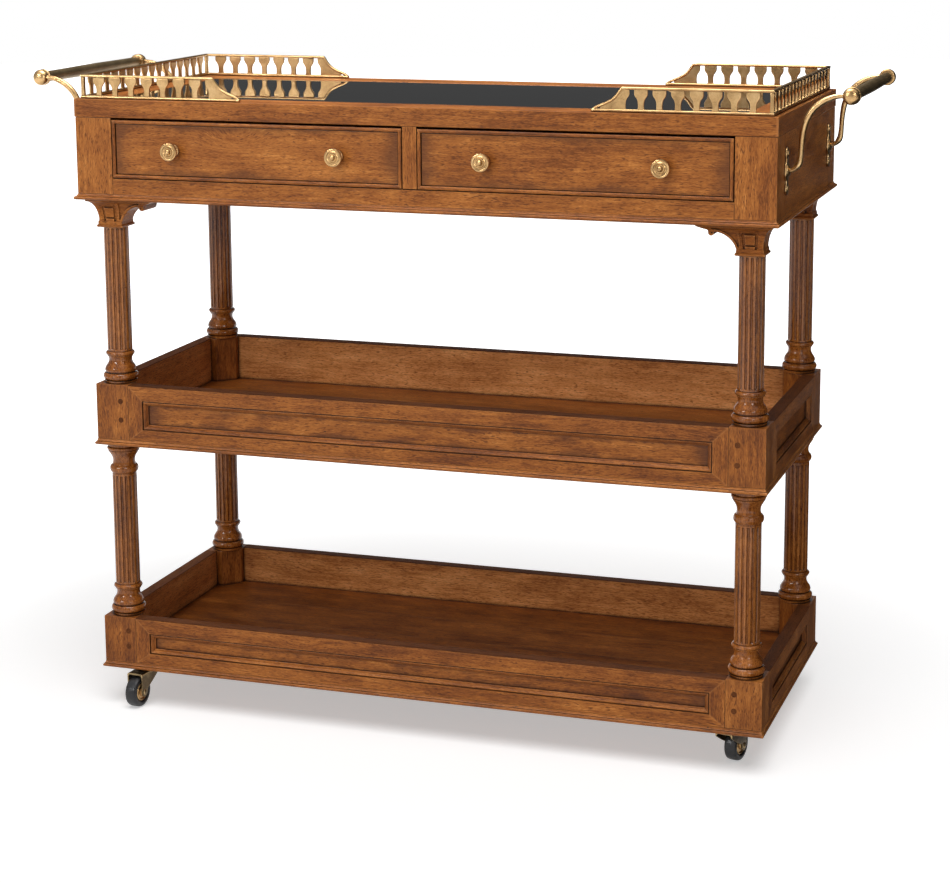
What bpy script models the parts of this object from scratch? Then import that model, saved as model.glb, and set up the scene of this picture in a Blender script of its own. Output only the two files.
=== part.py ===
"""Serving cart with a glazed top, two drawers, two open trays and a pierced brass gallery.

Metres, +Z up. X runs along the cart, the drawers face -Y and the casters stand on Z = 0.
"""
import math

import bmesh
import bpy
from mathutils import Matrix, Vector

# Heights of the stacked pieces, from the floor up
CASTER_HEIGHT = 0.0620
LOWER_TRAY_HEIGHT = 0.0765
LOWER_COLUMN_HEIGHT = 0.2860
MOULDING_HEIGHT = 0.0100
MIDDLE_TRAY_HEIGHT = 0.0900
UPPER_COLUMN_HEIGHT = 0.2515
CAPITAL_HEIGHT = 0.0460
CASE_HEIGHT = 0.1200
TOP_THICKNESS = 0.0286

# Plan sizes
CASE_LENGTH = 1.1100
CASE_DEPTH = 0.4720
TRAY_SETBACK = 0.0135
TOP_OVERHANG = 0.0008

# Clearances
SEAM = 0.0003
DRAWER_GAP = 0.0014
DRAWER_TOP_GAP = 0.0030
AXLE_GAP = 0.0005
SWIVEL_GAP = 0.0005
BITE = 0.0010
OVERRUN = 0.0050

# Boards and posts
BOARD = 0.0180
CASE_POST_WIDTH = 0.0615
CASE_POST_DEPTH = 0.0580
TRAY_WALL = 0.0200
TRAY_POST = 0.0560
TRAY_POST_CHAMFER = 0.0260
TRAY_FLOOR_RISE = 0.0140

# Moulded edges of the base boards: how far out and how far up
CASE_MOULDING_OVERHANG = 0.0053
TRAY_MOULDING_OVERHANG = 0.0050
MOULDING_SHARES = ((0.50, 0.00), (0.85, 0.05), (1.00, 0.20), (1.00, 0.56), (0.55, 0.66), (0.20, 0.86),
                   (0.00, 1.00))

# Sunk panels in the tray walls
PANEL_MARGIN_END = 0.0240
PANEL_MARGIN_TOP = 0.0230
PANEL_MARGIN_FOOT = 0.0180
PANEL_BEAD = 0.0020
PANEL_BEAD_RISE = 0.0014
PANEL_SLOPE = 0.0030
PANEL_SINK = 0.0060

# Top frame and its glass
TOP_RAIL = 0.0560
GLASS_THICKNESS = 0.0050
GLASS_DROP = 0.0006

# Drawers
DRAWER_RAIL_HEIGHT = 0.0252
DIVIDER_THICKNESS = 0.0224
DRAWER_FRONT = 0.0160
DRAWER_SIDE = 0.0120
DRAWER_SIDE_DROP = 0.0100
DRAWER_BACK_GAP = 0.0440
DRAWER_BOTTOM = 0.0080
DRAWER_BEAD = 0.0055
DRAWER_BEAD_SLOPE = 0.0014
DRAWER_PROUD = 0.0015
DRAWER_FIELD_SINK = 0.0030
RUNNER_WIDTH = 0.0240
KNOB_SPACING = 0.2720
KNOB_RADIUS = 0.0140
KNOB_REACH = 0.0240
KNOB_SHARES = ((0.00, 0.00), (0.66, 0.00), (0.62, 0.10), (0.35, 0.20), (0.35, 0.48), (1.00, 0.60),
               (1.00, 0.78), (0.70, 0.92), (0.28, 0.90), (0.24, 1.00), (0.00, 1.00))

# Columns
COLUMN_INSET = 0.0290
SHAFT_RADIUS = 0.0206
FLUTE_COUNT = 16
FLUTE_DEPTH = 0.0030
FLUTE_STOP = 0.0080
BASE_RADIUS = 0.0282
BASE_HEIGHT = 0.0540
BASE_SHARES = ((0.90, 0.00), (1.00, 0.12), (1.00, 0.26), (0.88, 0.33), (0.86, 0.42), (0.68, 0.60),
               (0.68, 0.76), (0.80, 0.84), (0.80, 0.95))
NECKING_RADIUS = 0.0262
NECKING_HEIGHT = 0.0330
NECKING_SHARES = ((0.85, 0.04), (0.85, 0.20), (0.73, 0.32), (0.73, 0.55), (0.94, 0.74), (1.00, 0.82),
                  (1.00, 1.00))

# Bracket capitals
COLLAR_HALF = 0.0226
COLLAR_HEIGHT = 0.0060
COLLAR_ROUND = 0.0014
BELL_HALF = 0.0205
ABACUS_HALF = 0.0350
ABACUS_HEIGHT = 0.0030
ARCH_REACH = 0.0490
ARCH_RISE = 0.0340
SCROLL_REACH = 0.0620
SCROLL_RADIUS = 0.0050
BRACKET_REACH = 0.0785
BRACKET_LIP = 0.0015
CURVE_STEPS = 5

# Pierced gallery
GALLERY_INSET = 0.0080
GALLERY_HEIGHT = 0.0370
GALLERY_RAIL_WIDTH = 0.0070
GALLERY_FOOT_RAIL = 0.0045
GALLERY_TOP_RAIL = 0.0040
GALLERY_PLATE = 0.0036
GALLERY_POST = 0.0066
GALLERY_PITCH = 0.0270
GALLERY_RETURN = 0.2190
GALLERY_OGEE = 0.0450
BALUSTER_SHARES = ((0.185, 0.00), (0.160, 0.44), (0.350, 0.72), (0.350, 1.00))
OGEE_STEPS = 6

# Push handles
HANDLE_REACH = 0.0924
HANDLE_RISE = 0.0260
HANDLE_FROM_SIDE = 0.0640
HANDLE_BAR_RADIUS = 0.0088
HANDLE_SWELL = 0.0006
CAP_RADIUS = 0.0127
CAP_LENGTH = 0.0190
CAP_SHARES = ((0.00, 0.00), (0.80, 0.00), (1.00, 0.12), (1.00, 0.28), (0.90, 0.42), (0.76, 0.74),
              (0.40, 0.96), (0.00, 1.00))
ARM_RADIUS = 0.0042
ARM_OUT = 0.0200
ARM_BEND = 0.0100
ARM_SWEEP = 0.0580
ARM_ROOT_RISE = 0.0655
PLATE_HEIGHT = 0.0690
PLATE_WAIST = 0.0060
PLATE_LOBE = 0.0095
PLATE_BOSS = 0.0140
PLATE_THICKNESS = 0.0030

# Casters, and the angle in degrees that each one stands at, zero trailing towards the front
WHEEL_RADIUS = 0.0250
TYRE_WIDTH = 0.0200
TYRE_SEAT = 0.0150
TYRE_SHARES = ((0.36, 0.00), (0.50, 0.12), (0.50, 0.62), (0.34, 0.92), (0.12, 1.00))
HUB_WIDTH = 0.0215
HUB_RIM = 0.0040
HUB_WEB = 0.0100
HUB_BOSS = 0.0068
AXLE_RADIUS = 0.0030
AXLE_HEAD = 0.0048
AXLE_HEAD_LENGTH = 0.0020
CASTER_TRAIL = 0.0310
CASTER_FROM_END = 0.0565
CASTER_FROM_SIDE = 0.0325
FORK_GAP = 0.0236
FORK_SHEET = 0.0022
FORK_EYE = 0.0080
FORK_HEEL = 0.0150
FORK_SHOULDER = 0.0040
CASTER_PLATE_LENGTH = 0.0560
CASTER_PLATE_DEPTH = 0.0420
CASTER_PLATE_THICKNESS = 0.0022
RACE_HEIGHT = 0.0030
RACE_SHARES = (1.00, 0.82)
RACE_RADIUS = 0.0160
KINGPIN_RADIUS = 0.0045
KINGPIN_HEAD = 0.0075
KINGPIN_HEAD_LENGTH = 0.0018
CASTER_TURNS = {"front_left": -5, "front_right": 168, "back_left": -14, "back_right": 9}
WHEEL_SIDES = 14
SMALL_SIDES = 10

# Finishes: colour, roughness, metallic
WALNUT = ((0.200, 0.078, 0.026), 0.42, 0.0)
WALNUT_DARK = ((0.085, 0.034, 0.014), 0.45, 0.0)
DRAWER_WOOD = ((0.330, 0.190, 0.090), 0.55, 0.0)
BLACK_GLASS = ((0.012, 0.013, 0.015), 0.04, 0.0)
BRASS = ((0.560, 0.380, 0.150), 0.32, 1.0)
BRONZE = ((0.070, 0.050, 0.030), 0.38, 1.0)
STEEL = ((0.400, 0.330, 0.200), 0.35, 1.0)
RUBBER = ((0.015, 0.015, 0.016), 0.70, 0.0)

# Levels worked out from the heights
LOWER_TRAY_Z = CASTER_HEIGHT + MOULDING_HEIGHT
LOWER_TRAY_TOP = LOWER_TRAY_Z + LOWER_TRAY_HEIGHT
MIDDLE_TRAY_Z = LOWER_TRAY_TOP + LOWER_COLUMN_HEIGHT + MOULDING_HEIGHT
MIDDLE_TRAY_TOP = MIDDLE_TRAY_Z + MIDDLE_TRAY_HEIGHT
CAPITAL_Z = MIDDLE_TRAY_TOP + UPPER_COLUMN_HEIGHT
CASE_Z = CAPITAL_Z + CAPITAL_HEIGHT + MOULDING_HEIGHT
CASE_TOP = CASE_Z + CASE_HEIGHT
TOP_Z = CASE_TOP + TOP_THICKNESS
BAR_Z = TOP_Z + HANDLE_RISE
CROWN_TOP = CASTER_HEIGHT - SEAM - CASTER_PLATE_THICKNESS - RACE_HEIGHT

# Half sizes and places worked out from the plan sizes
CASE_X = CASE_LENGTH / 2
CASE_Y = CASE_DEPTH / 2
TRAY_X = CASE_X - TRAY_SETBACK
TRAY_Y = CASE_Y - TRAY_SETBACK
TOP_X = CASE_X + TOP_OVERHANG
TOP_Y = CASE_Y + TOP_OVERHANG
COLUMN_X = TRAY_X - COLUMN_INSET
COLUMN_Y = TRAY_Y - COLUMN_INSET
CASTER_X = TRAY_X - CASTER_FROM_END
CASTER_Y = TRAY_Y - CASTER_FROM_SIDE
RAIL_TOP = CASE_Z + DRAWER_RAIL_HEIGHT
DRAWER_INNER = DIVIDER_THICKNESS / 2
DRAWER_OUTER = CASE_X - CASE_POST_WIDTH
DRAWER_X = (DRAWER_INNER + DRAWER_OUTER) / 2
DRAWER_LENGTH = CASE_DEPTH - BOARD - DRAWER_BACK_GAP
HANDLE_Y = CASE_Y - HANDLE_FROM_SIDE
FORK_HALF = FORK_GAP / 2 + FORK_SHEET

# The knobs reach further than the back moulding, so the cart is set back by half the difference
FRONT_REACH = CASE_Y + DRAWER_PROUD - DRAWER_FIELD_SINK + SEAM + KNOB_REACH
BACK_REACH = CASE_Y + CASE_MOULDING_OVERHANG
CENTRE_Y = (FRONT_REACH - BACK_REACH) / 2

CORNERS = {"front_left": (-1, -1), "front_right": (1, -1), "back_left": (-1, 1), "back_right": (1, 1)}
SIDES = {"left": -1, "right": 1}


def clear_scene():
    """Removes every object, mesh, curve and material."""
    for obj in list(bpy.data.objects):
        bpy.data.objects.remove(obj, do_unlink=True)
    for block in (bpy.data.meshes, bpy.data.curves, bpy.data.materials):
        for item in list(block):
            block.remove(item)


def empty(name, parent=None, location=(0, 0, 0), turn=0.0):
    """An empty that carries the pieces of one moving group."""
    obj = bpy.data.objects.new(name, None)
    bpy.context.scene.collection.objects.link(obj)
    obj.parent = parent
    obj.location = location
    obj.rotation_euler = (0, 0, turn)
    return obj


def make(name, bm, finish, parent, location=(0, 0, 0), turn=0.0, smooth=False):
    """A named object with outward faces and a Principled material of its own."""
    bmesh.ops.recalc_face_normals(bm, faces=bm.faces)
    mesh = bpy.data.meshes.new(name)
    bm.to_mesh(mesh)
    bm.free()
    if smooth:
        mesh.shade_smooth()
        mesh.set_sharp_from_angle(angle=math.radians(35))
    obj = bpy.data.objects.new(name, mesh)
    bpy.context.scene.collection.objects.link(obj)
    obj.parent = parent
    obj.location = location
    obj.rotation_euler = (0, 0, turn)
    colour, roughness, metallic = finish
    material = bpy.data.materials.new(name + "_finish")
    material.use_nodes = True
    shader = material.node_tree.nodes["Principled BSDF"]
    shader.inputs["Base Color"].default_value = (*colour, 1.0)
    shader.inputs["Roughness"].default_value = roughness
    shader.inputs["Metallic"].default_value = metallic
    mesh.materials.append(material)
    return obj


def add_copy(target, source, matrix):
    """Adds a moved copy of one bmesh to another."""
    mesh = bpy.data.meshes.new("copy")
    source.to_mesh(mesh)
    mesh.transform(matrix)
    target.from_mesh(mesh)
    bpy.data.meshes.remove(mesh)


def add_box(bm, low, high):
    """Adds a box between two corners."""
    low, high = Vector(low), Vector(high)
    size = high - low
    matrix = Matrix.Translation((low + high) / 2) @ Matrix.Diagonal((*size, 1.0))
    bmesh.ops.create_cube(bm, size=1.0, matrix=matrix)


def box(low, high):
    """A box as a bmesh of its own."""
    bm = bmesh.new()
    add_box(bm, low, high)
    return bm


def prism(outline, start, length, axis):
    """A closed outline extruded along X, Y or Z. The outline lies in the other two axes, in order."""
    bm = bmesh.new()
    verts = []
    for pair in outline:
        place = list(pair)
        place.insert(axis, start)
        verts.append(bm.verts.new(place))
    grown = bmesh.ops.extrude_face_region(bm, geom=[bm.faces.new(verts)])
    shift = Vector((0, 0, 0))
    shift[axis] = length
    moved = [item for item in grown["geom"] if isinstance(item, bmesh.types.BMVert)]
    bmesh.ops.translate(bm, verts=moved, vec=shift)
    bmesh.ops.recalc_face_normals(bm, faces=bm.faces)
    return bm


def turned(profile, sides, ring=False):
    """Spins a profile of (radius, height) points about Z. A ring profile closes on its first point."""
    bm = bmesh.new()
    verts = [bm.verts.new((radius, 0, height)) for radius, height in profile]
    edges = [bm.edges.new(pair) for pair in zip(verts, verts[1:])]
    if ring:
        edges.append(bm.edges.new((verts[-1], verts[0])))
    bmesh.ops.spin(bm, geom=verts + edges, axis=(0, 0, 1), cent=(0, 0, 0), angle=2 * math.pi,
                   steps=sides, use_merge=True)
    bmesh.ops.remove_doubles(bm, verts=bm.verts, dist=SEAM / 10)
    bmesh.ops.recalc_face_normals(bm, faces=bm.faces)
    return bm


def loft(rings):
    """Bridges closed rings of points one after another and caps the first and the last."""
    bm = bmesh.new()
    loops = []
    for ring in rings:
        verts = [bm.verts.new(point) for point in ring]
        loops.append([bm.edges.new((verts[k - 1], verts[k])) for k in range(len(verts))])
    for below, above in zip(loops, loops[1:]):
        bmesh.ops.bridge_loops(bm, edges=below + above)
    for loop in (loops[0], loops[-1]):
        bmesh.ops.contextual_create(bm, geom=loop)
    bmesh.ops.recalc_face_normals(bm, faces=bm.faces)
    return bm


def boolean(first, others, operation):
    """Combines bmeshes with Boolean modifiers and returns the evaluated result as a bmesh."""
    objects = []
    for bm in (first, *others):
        mesh = bpy.data.meshes.new("operand")
        bm.to_mesh(mesh)
        bm.free()
        obj = bpy.data.objects.new("operand", mesh)
        bpy.context.scene.collection.objects.link(obj)
        objects.append(obj)
    base = objects[0]
    for tool in objects[1:]:
        modifier = base.modifiers.new("boolean", "BOOLEAN")
        modifier.operation = operation
        modifier.solver = "EXACT"
        modifier.object = tool
    bpy.context.view_layer.update()
    result = bmesh.new()
    result.from_object(base, bpy.context.evaluated_depsgraph_get())
    for obj in objects:
        bpy.data.objects.remove(obj, do_unlink=True)
    return result


def arc(centre, radius, start, end, steps):
    """Points of an arc in a plane, angles in degrees."""
    angles = [math.radians(start + (end - start) * k / steps) for k in range(steps + 1)]
    return [(centre[0] + radius * math.cos(a), centre[1] + radius * math.sin(a)) for a in angles]


def sink_panel(bm, face, margins, steps):
    """Insets a face to a rectangle inside its margins, then insets and raises or sinks it step by step.

    The face looks along -Y. The margins are (end, foot, top), and each step is (inset, rise towards -Y).
    """
    end, foot, top = margins
    low_x, high_x = min(v.co.x for v in face.verts), max(v.co.x for v in face.verts)
    low_z, high_z = min(v.co.z for v in face.verts), max(v.co.z for v in face.verts)
    bmesh.ops.inset_region(bm, faces=[face], thickness=SEAM, use_even_offset=True)
    for vert in face.verts:
        vert.co.x = low_x + end if vert.co.x < (low_x + high_x) / 2 else high_x - end
        vert.co.z = low_z + foot if vert.co.z < (low_z + high_z) / 2 else high_z - top
    for inset, rise in steps:
        bmesh.ops.inset_region(bm, faces=[face], thickness=inset, use_even_offset=True)
        bmesh.ops.translate(bm, verts=face.verts, vec=(0, -rise, 0))


def front_face(bm):
    """The face whose centre lies furthest towards -Y."""
    return min(bm.faces, key=lambda face: face.calc_center_median().y)


def hollow(bm, wall, floor):
    """Sinks the top face of a box to its floor, which leaves walls all round."""
    face = max(bm.faces, key=lambda face: face.calc_center_median().z)
    top = face.calc_center_median().z
    bmesh.ops.inset_region(bm, faces=[face], thickness=wall, use_even_offset=True)
    sunk = bmesh.ops.extrude_face_region(bm, geom=[face])
    moved = [item for item in sunk["geom"] if isinstance(item, bmesh.types.BMVert)]
    bmesh.ops.delete(bm, geom=[face], context="FACES_ONLY")
    bmesh.ops.translate(bm, verts=moved, vec=(0, 0, floor - top))


def moulded_board(half_x, half_y, overhang, top):
    """A base board whose edge is a nosing under a cove."""
    bottom = top - MOULDING_HEIGHT + SEAM
    rings = []
    for out, up in MOULDING_SHARES:
        x, y = half_x + overhang * out, half_y + overhang * out
        z = bottom + (top - bottom) * up
        rings.append([(-x, -y, z), (x, -y, z), (x, y, z), (-x, y, z)])
    return loft(rings)


def sink_tray_panel(wall, margin):
    """The beaded sunk panel on the outer face of a tray wall."""
    steps = ((PANEL_BEAD, PANEL_BEAD_RISE), (PANEL_BEAD, 0), (PANEL_SLOPE, -PANEL_SINK - PANEL_BEAD_RISE))
    sink_panel(wall, front_face(wall), (margin, PANEL_MARGIN_FOOT, PANEL_MARGIN_TOP), steps)


def tray_end(rise):
    """An end wall between its two corner posts, inner corners chamfered, outer face on Y = 0."""
    half, post = TRAY_Y, TRAY_POST
    cut = post - TRAY_POST_CHAMFER
    right = [(half, 0), (half, post), (half - cut, post), (half - post, cut), (half - post, TRAY_WALL)]
    bm = prism(right + [(-x, y) for x, y in reversed(right)], 0, rise, 2)
    sink_tray_panel(bm, post + PANEL_MARGIN_END)
    return bm


def tray_floor_outline():
    """Plan of the raised floor, which fills the walls and clears the four corner posts."""
    edge_x, edge_y = TRAY_X - TRAY_WALL - SEAM, TRAY_Y - TRAY_WALL - SEAM
    step_x, step_y = TRAY_X - TRAY_POST - SEAM, TRAY_Y - TRAY_POST - SEAM
    chamfer = TRAY_POST_CHAMFER
    corner = [(edge_x, step_y), (step_x + chamfer, step_y), (step_x, step_y + chamfer), (step_x, edge_y)]
    outline = corner + [(-x, y) for x, y in reversed(corner)]
    return outline + [(-x, -y) for x, y in corner] + [(x, -y) for x, y in reversed(corner)]


def make_tray(label, level, height, cart):
    """A moulded base with a raised floor, two end frames with the corner posts, a front and a back."""
    floor = prism(tray_floor_outline(), level - MOULDING_HEIGHT / 2, MOULDING_HEIGHT / 2 + TRAY_FLOOR_RISE, 2)
    board = moulded_board(TRAY_X, TRAY_Y, TRAY_MOULDING_OVERHANG, level)
    make(label + "_tray_base", boolean(board, [floor], "UNION"), WALNUT, cart)

    rise = height - SEAM
    for side, sign in SIDES.items():
        end = tray_end(rise)
        bmesh.ops.translate(end, verts=end.verts, vec=(0, -TRAY_X, 0))
        name = "%s_tray_end_%s" % (label, side)
        make(name, end, WALNUT, cart, (0, 0, level + SEAM), sign * math.pi / 2)
    half = TRAY_X - TRAY_POST - SEAM
    for name, turn in (("_tray_front", 0.0), ("_tray_back", math.pi)):
        wall = box((-half, -TRAY_Y, 0), (half, TRAY_WALL - TRAY_Y, rise))
        sink_tray_panel(wall, PANEL_MARGIN_END)
        make(label + name, wall, WALNUT, cart, (0, 0, level + SEAM), turn)


def carcass_outline():
    """Plan of the case without its front: posts at the corners, end boards and back board between them."""
    post, wall = CASE_Y - CASE_POST_DEPTH, CASE_X - BOARD
    right = [(DRAWER_OUTER, CASE_Y - BOARD), (DRAWER_OUTER, post), (wall, post), (wall, -post),
             (DRAWER_OUTER, -post), (DRAWER_OUTER, -CASE_Y), (CASE_X, -CASE_Y), (CASE_X, CASE_Y)]
    return right + [(-x, y) for x, y in reversed(right)]


def make_case(cart):
    """The case that holds the drawers: carcass, rail, divider, and a moulded base with the runners."""
    bottom = CASE_Z + SEAM
    make("case_carcass", prism(carcass_outline(), bottom, CASE_TOP - bottom, 2), WALNUT, cart)

    span = DRAWER_OUTER - SEAM
    rail = box((-span, -CASE_Y, bottom), (span, BOARD - CASE_Y, RAIL_TOP))
    make("drawer_rail", rail, WALNUT, cart)
    low = RAIL_TOP + DRAWER_GAP
    divider = box((-DRAWER_INNER, -CASE_Y, low), (DRAWER_INNER, CASE_Y - BOARD - SEAM, CASE_TOP))
    make("drawer_divider", divider, WALNUT, cart)

    board = moulded_board(CASE_X, CASE_Y, CASE_MOULDING_OVERHANG, CASE_Z)
    run_y, sunk = CASE_Y - BOARD - SEAM, CASE_Z - MOULDING_HEIGHT / 2
    runner_top = RAIL_TOP + DRAWER_GAP - SEAM
    middle = DRAWER_INNER + RUNNER_WIDTH
    strips = [(-middle, middle), (span - RUNNER_WIDTH, span), (-span, RUNNER_WIDTH - span)]
    runners = [box((near, -run_y, sunk), (far, run_y, runner_top)) for near, far in strips]
    make("case_base", boolean(board, runners, "UNION"), WALNUT, cart)


def make_top(cart):
    """The top frame, one glued-up board with a recess, and the sheet of black glass in it."""
    frame = box((-TOP_X, -TOP_Y, CASE_TOP + SEAM), (TOP_X, TOP_Y, TOP_Z))
    glass_top = TOP_Z - GLASS_DROP
    hollow(frame, TOP_RAIL, glass_top - GLASS_THICKNESS - SEAM)
    make("top_frame", frame, WALNUT, cart)
    x, y = TOP_X - TOP_RAIL - SEAM, TOP_Y - TOP_RAIL - SEAM
    make("top_glass", box((-x, -y, glass_top - GLASS_THICKNESS), (x, y, glass_top)), BLACK_GLASS, cart)


def make_drawer(side, sign, cart):
    """One drawer: a beaded front, a box behind it and two knobs."""
    half = (DRAWER_OUTER - DRAWER_INNER) / 2 - DRAWER_GAP
    height = CASE_TOP - RAIL_TOP - DRAWER_GAP - DRAWER_TOP_GAP
    slide = empty("drawer_%s_slide" % side, cart, (sign * DRAWER_X, -CASE_Y, RAIL_TOP + DRAWER_GAP))

    front = box((-half, -DRAWER_PROUD, 0), (half, DRAWER_FRONT, height))
    steps = ((DRAWER_BEAD_SLOPE, -DRAWER_FIELD_SINK),)
    sink_panel(front, front_face(front), (DRAWER_BEAD, DRAWER_BEAD, DRAWER_BEAD), steps)
    make("drawer_%s_front" % side, front, WALNUT, slide)

    shell = box((-half, DRAWER_FRONT + SEAM, 0), (half, DRAWER_LENGTH, height - DRAWER_SIDE_DROP))
    hollow(shell, DRAWER_SIDE, DRAWER_BOTTOM)
    make("drawer_%s_box" % side, shell, DRAWER_WOOD, slide)

    field = DRAWER_FIELD_SINK - DRAWER_PROUD - SEAM
    profile = [(KNOB_RADIUS * out, KNOB_REACH * along) for out, along in KNOB_SHARES]
    for end, hand in SIDES.items():
        knob = turned(profile, SMALL_SIDES)
        bmesh.ops.rotate(knob, verts=knob.verts, matrix=Matrix.Rotation(math.pi / 2, 3, "X"))
        place = (hand * KNOB_SPACING / 2, field, height / 2)
        make("drawer_%s_knob_%s" % (side, end), knob, BRASS, slide, place, smooth=True)


def circle(radius, height):
    """A ring of points at one height, one for each arris of the shaft."""
    turns = [2 * math.pi * k / FLUTE_COUNT for k in range(FLUTE_COUNT)]
    return [(radius * math.cos(t), radius * math.sin(t), height) for t in turns]


def fluted_ring(height):
    """Points round the shaft, an arris and a groove bottom for each flute."""
    ring = []
    for k in range(2 * FLUTE_COUNT):
        radius = SHAFT_RADIUS - FLUTE_DEPTH * (k % 2)
        turn = math.pi * k / FLUTE_COUNT
        ring.append((radius * math.cos(turn), radius * math.sin(turn), height))
    return ring


def column(height, has_necking):
    """A turned base, a shaft with stopped flutes and, on the lower columns, a turned necking."""
    top = height - NECKING_HEIGHT if has_necking else height
    rings = [circle(BASE_RADIUS * out, BASE_HEIGHT * up) for out, up in BASE_SHARES]
    rings += [circle(SHAFT_RADIUS, BASE_HEIGHT), fluted_ring(BASE_HEIGHT + FLUTE_STOP)]
    rings += [fluted_ring(top - FLUTE_STOP), circle(SHAFT_RADIUS, top)]
    if has_necking:
        rings += [circle(NECKING_RADIUS * out, top + NECKING_HEIGHT * up) for out, up in NECKING_SHARES]
    return loft(rings)


def make_columns(cart):
    """Four lower columns between the trays, four upper columns and the capitals on them."""
    for corner, (sign_x, sign_y) in CORNERS.items():
        x, y = sign_x * COLUMN_X, sign_y * COLUMN_Y
        lower = column(LOWER_COLUMN_HEIGHT - SEAM, True)
        make("lower_column_" + corner, lower, WALNUT, cart, (x, y, LOWER_TRAY_TOP + SEAM), smooth=True)
        upper = column(UPPER_COLUMN_HEIGHT - SEAM, False)
        make("upper_column_" + corner, upper, WALNUT, cart, (x, y, MIDDLE_TRAY_TOP + SEAM), smooth=True)
        turn = 0.0 if sign_x > 0 else math.pi
        make("capital_" + corner, capital(), WALNUT, cart, (x, y, CAPITAL_Z + SEAM), turn)


def sweep(near, far, low, high):
    """Points of a side that rises straight and then sweeps outwards to its top edge."""
    turns = [math.pi / 2 * k / CURVE_STEPS for k in range(CURVE_STEPS + 1)]
    return [(near + (far - near) * (1 - math.cos(t)), low + (high - low) * math.sin(t)) for t in turns]


def capital():
    """A square bell on a collar, flared to its top on three sides, with a scrolled bracket towards -X.

    It is the part common to its front outline and its end outline.
    """
    height = CAPITAL_HEIGHT - SEAM
    collar = [(COLLAR_HALF - COLLAR_ROUND, 0), (COLLAR_HALF, COLLAR_ROUND),
              (COLLAR_HALF, COLLAR_HEIGHT - COLLAR_ROUND), (COLLAR_HALF - COLLAR_ROUND, COLLAR_HEIGHT)]
    outer = collar + sweep(BELL_HALF, ABACUS_HALF, COLLAR_HEIGHT, height - ABACUS_HEIGHT)
    outer.append((ABACUS_HALF, height))
    arch = [(-x, z) for x, z in collar + sweep(BELL_HALF, ARCH_REACH, COLLAR_HEIGHT, ARCH_RISE)]
    scroll = arc((SCROLL_RADIUS - SCROLL_REACH, ARCH_RISE), SCROLL_RADIUS, 0, -180, CURVE_STEPS)
    lip_foot = height - BRACKET_LIP
    lip = [(-SCROLL_REACH, (ARCH_RISE + lip_foot) / 2), (-BRACKET_REACH, lip_foot), (-BRACKET_REACH, height)]
    reach = BRACKET_REACH + OVERRUN
    front = prism(arch + scroll + lip + list(reversed(outer)), -reach, 2 * reach, 1)
    end = prism(outer + [(-x, z) for x, z in reversed(outer)], -reach, 2 * reach, 0)
    return boolean(front, [end], "INTERSECT")


def return_pitches():
    """How many pitches the straight rail of a gallery's arm holds."""
    return max(2, round(GALLERY_RETURN / GALLERY_PITCH))


def baluster(pitch):
    """A flat vase-shaped baluster centred on X = 0, biting into both rails."""
    foot, under = GALLERY_FOOT_RAIL, GALLERY_HEIGHT - GALLERY_TOP_RAIL
    side = [(pitch * out, foot + (under - foot) * up) for out, up in BALUSTER_SHARES]
    side[0] = (side[0][0], foot - BITE)
    side[-1] = (side[-1][0], under + BITE)
    return prism(side + [(-x, z) for x, z in reversed(side)], -GALLERY_PLATE / 2, GALLERY_PLATE, 1)


def gallery_end():
    """The leaf and the swept rail that close one arm. X = 0 is where the top rail bends down."""
    foot, under = GALLERY_FOOT_RAIL, GALLERY_HEIGHT - GALLERY_TOP_RAIL
    turns = [math.pi / 2 * k / OGEE_STEPS for k in range(OGEE_STEPS + 1)]
    drop = GALLERY_HEIGHT - foot
    curve = [(GALLERY_OGEE * (1 - math.cos(t)), GALLERY_HEIGHT - drop * math.sin(t)) for t in turns]
    curve = curve[:-1] + [(GALLERY_OGEE, foot)]
    lowered = [(x, z - GALLERY_TOP_RAIL) for x, z in curve[:-1]] + [(GALLERY_OGEE, foot - BITE)]
    start = -GALLERY_TOP_RAIL
    band = [(start, GALLERY_HEIGHT - BITE)] + [(x, z - BITE / 2) for x, z in curve[:-1]]
    band += [(GALLERY_OGEE, foot - BITE)] + list(reversed(lowered[:-1])) + [(start, under + BITE)]
    half = GALLERY_RAIL_WIDTH / 2 - BITE / 2
    rail = prism(band, -half, 2 * half, 1)

    pitch = GALLERY_RETURN / return_pitches()
    edge = [(-pitch * out, foot + (under - foot) * up) for out, up in BALUSTER_SHARES]
    edge[0] = (edge[0][0], foot - BITE)
    edge[-1] = (edge[-1][0], under + BITE)
    slope = [(x, z - GALLERY_TOP_RAIL / 2) for x, z in curve[1:-1]]
    outline = edge + [(0, under + BITE)] + slope + [(slope[-1][0], foot - BITE)]
    return [rail, prism(outline, -GALLERY_PLATE / 2, GALLERY_PLATE, 1)]


def gallery_rail(reach, level, thickness):
    """A U-shaped rail round three sides, open towards +X, its corners centred on X = 0."""
    half, side = GALLERY_RAIL_WIDTH / 2, TOP_Y - GALLERY_INSET - GALLERY_RAIL_WIDTH / 2
    upper = [(reach, side - half), (half, side - half)]
    outer = [(reach, side + half), (-half, side + half)]
    outline = upper + [(x, -y) for x, y in reversed(upper)]
    outline += [(x, -y) for x, y in outer] + list(reversed(outer))
    return prism(outline, level, thickness, 2)


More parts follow.
